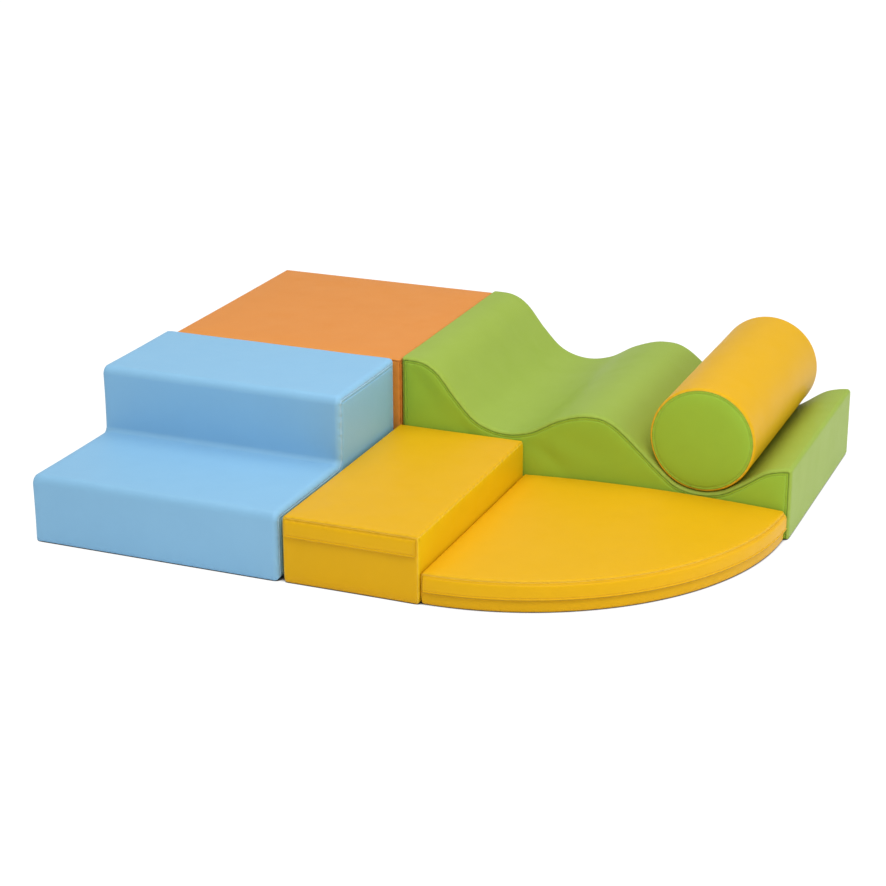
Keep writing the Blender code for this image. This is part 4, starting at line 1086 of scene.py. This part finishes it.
def dress_mat():
    """Foam, panels, sole and zip of the mat. Returns its rim's centre and radius."""
    low, high = box_of("mat_left", "mat_back", "mat_rim")
    radius = high[1] - low[1]
    turns = math.pi / 2 * (np.arange(2, MAT_STEPS - 1) / MAT_STEPS - 1)
    corners = [(0, -radius, CORNER_ROUND, False)]
    corners += [(math.cos(a) * radius, math.sin(a) * radius, 0, False) for a in turns]
    corners += [(radius, 0, CORNER_ROUND, True), (0, 0, CORNER_ROUND, True)]
    line, far = Outline(corners), len(corners)

    def lift(q, level):
        """The top's swell towards the middle of the back edge."""
        chord = np.sqrt(np.maximum(radius**2 - q[..., 0] ** 2, 1e-6))
        along, deep = np.clip(q[..., 0] / radius, 0, 1), np.clip(1 + q[..., 1] / chord, 0, 1)
        return MAT_SWELL * 4 * along * (1 - along) * deep**2 * level / MAT_HEIGHT

    form = Form(line, MAT_HEIGHT, (low[0], high[1], 0), LYING, lift=lift)
    stops = (line.middle(0), line.middle(far - 2), line.middle(far - 1),
             line.middle(0) + line.total)
    rim, *_ = [
        sheet("mat", name, form.wall(start, end, (SOLE_SEAM, EDGE_SEAM), CURVE_STEP), "yellow")
        for name, start, end in zip(("rim", "back", "left"), stops, stops[1:])
    ]
    near = radius * MAT_MIDDLE
    top_and_grip("mat", form, "yellow", ((near, -near), (near, -near)), (radius, radius))
    foam(form, "mat")
    height = MAT_HEIGHT - FLAP_DROP - MAT_FLAP_HEIGHT * ZIP_UNDER_FLAP
    dress_zip("mat", rim, rim_track((low[0], high[1], height), radius, MAT_ZIP_TRIM), "yellow")
    return low[0], high[1], radius


# Flaps


def flap_profile(height):
    """Outward reach and drop of a flap, from its sewn edge to its free edge."""
    top = COVER + FOAM_GAP - crown_drop(FLAP_DROP, CROWN, CROWN_REACH)
    down = np.linspace(0, 1, 64)
    bulge = np.interp(down, *np.transpose(smooth_curve(FLAP_SHARES, 12)))
    up, half = height * (1 - down), HEM_SPAN / 2
    roll = HEM_RISE * np.clip(1 - ((up - half) / half) ** 2, 0, 1) ** 0.6
    sink = sum(HEM_SINK * np.exp(-((away / SINK_HALF) ** 2))
               for away in (up - FLAP_HEM, height * down - FLAP_SEW))
    return np.minimum(top + (FLAP_STAND - top) * bulge + roll - sink, FLAP_STAND), -height * down


def dress_flap(module, body, track, height, margin=0):
    """A flap over a zip, sewn along its top edge, and its stitching.

    A flap without a margin at its ends is straight, and is marked as sewn on all four sides.
    """
    reach, drop = flap_profile(height)
    rim, ends = max(margin, HEM_RADIUS), (margin, track.length - margin)
    t = graded(rim, track.length - rim, [(end, end) for end in ends], FLAP_STEP)
    points = np.array([track.at(t, d + 0 * t, r + 0 * t)
                       for r, d in zip(reach[::-1], drop[::-1])])
    along, away = np.meshgrid(t, height + drop[::-1])
    if not margin:
        away = np.minimum.reduce([height - away, away, along, track.length - along])
    sheet(module, "flap", (points, np.stack([along, away], -1)), "yellow", body=body,
          rumple=FLAP_RUMPLE, hems=("left", "right"))

    def line(t, down):
        return track.line(t, -down, np.interp(down, -drop, reach) + THREAD_RISE)

    near, far, low = ends[0] + FLAP_SIDE, ends[1] - FLAP_SIDE, height - FLAP_HEM
    across, down = np.linspace(near, far, 300), np.linspace(FLAP_SEW, low, 40)
    rows = [line(across, FLAP_SEW), line(across, low), line(near, down), line(far, down)]
    stitching(f"{module}_flap_thread", rows, body, "yellow")


def dress_flaps(left, back, radius):
    low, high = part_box("pad_flap")
    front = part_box("pad_front")[0][1]

    def at(t, height, reach):
        return np.stack([low[0] + t, front - reach, high[2] + height], -1)

    dress_flap("pad", "pad_flap", Track(high[0] - low[0], at), PAD_FLAP_HEIGHT)
    rim = rim_track((left, back, MAT_HEIGHT - FLAP_DROP), radius)
    dress_flap("mat", "mat", rim, MAT_FLAP_HEIGHT, MAT_FLAP_MARGIN)


def paint_nodes():
    """The sliders and pulls keep their CAD solids, in metal."""
    for piece in bpy.data.objects:
        if piece.type == "MESH" and piece.name.endswith(("_slider", "_pull")):
            for slot in piece.material_slots:
                slot.material = MATERIALS["zip_metal"]


# Studio


def studio_floor():
    """A floor that is white where it is seen and grey where it lights the modules. Where it is
    seen, a painted contact shadow from ambient occlusion darkens it close to the modules and in the
    gaps between them.
    """
    bpy.ops.mesh.primitive_plane_add(size=FLOOR_SIZE, location=(0, 0, 0))
    floor = bpy.context.object
    floor.name = "studio_floor"
    it = Shader("studio_floor", Base_Color=(FLOOR_GREY,) * 3, Roughness=0.9,
                Specular_IOR_Level=0.0)
    path = it.node("LightPath")
    seen = (it.value(path, 0) + it.value(path, 3) + it.value(path, 6)).clamp() * FLOOR_GLOW
    # painted contact shadow: ambient occlusion near the modules darkens the emission that the
    # camera sees
    near = it.node("AmbientOcclusion", {"samples": PAINTED_SHADOW_SAMPLES}, Distance=PAINTED_SHADOW_REACH)
    shade = ((it.value(near, 1) - PAINTED_SHADOW_START) * PAINTED_SHADOW_RISE).clamp()
    white = it.node("Emission", Strength=FLOOR_WHITE, Color=it.colour(shade, (0,) * 3, (1,) * 3))
    mix = it.node("MixShader", Fac=seen)
    for source, target in ((it.shader, mix.inputs[1]), (white, mix.inputs[2]),
                           (mix, it.tree.nodes["Material Output"].inputs[0])):
        it.tree.links.new(source.outputs[0], target)
    floor.data.materials.append(it.material)


def studio_light():
    world = bpy.data.worlds.new("studio")
    bpy.context.scene.world = world
    world.use_nodes = True
    nodes, links = world.node_tree.nodes, world.node_tree.links
    path, mix = nodes.new("ShaderNodeLightPath"), nodes.new("ShaderNodeMixShader")
    links.new(path.outputs["Is Camera Ray"], mix.inputs[0])
    backgrounds = (nodes["Background"], ROOM_LIGHT), (nodes.new("ShaderNodeBackground"), SKY_WHITE)
    for i, (node, strength) in enumerate(backgrounds):
        node.inputs[0].default_value, node.inputs[1].default_value = (1, 1, 1, 1), strength
        links.new(node.outputs[0], mix.inputs[i + 1])
    links.new(mix.outputs[0], nodes["World Output"].inputs[0])
    for name, (place, size, power) in LIGHTS.items():
        light = bpy.data.lights.new(name, "AREA")
        light.shape, light.size, light.energy = "DISK", size, power
        lamp = link(name, light)
        lamp.location = place
        lamp.rotation_euler = (-Vector(place)).to_track_quat("-Z", "Y").to_euler()


def camera():
    turns = (AZIMUTH, "Z"), (math.pi / 2 - ELEVATION, "X"), (ROLL, "Z")
    pan, tilt, roll = (Matrix.Rotation(angle, 4, axis) for angle, axis in turns)
    matrix = pan @ tilt @ roll
    matrix.translation = Vector(WAVE_CORNER - CORNER_TO_FIT) + Vector(CAMERA_PLACE)
    data = bpy.data.cameras.new("camera")
    data.sensor_width, data.lens = SENSOR, FOCAL_PIXELS / PHOTO_PIXELS * SENSOR
    view = link("camera", data)
    view.matrix_world = matrix
    bpy.context.scene.camera = view


for cover, look in COVERS.items():
    leather(cover, *look)
for cover in THREADS:
    thread(cover, COVERS[cover][0])
fittings()
STITCH_SHAPE, TOOTH_SHAPE = stitch_shape(), tooth_shape()
dress_wave(dress_roller())
dress_stair()
dress_box("block", "orange", "back", (0, 1, 0))
dress_box("pad", "yellow", "front", (0, -1, 0), PAD_FULL)
dress_flaps(*dress_mat())
paint_nodes()
studio_floor()
studio_light()
camera()
bpy.context.scene.view_settings.view_transform = "Standard"
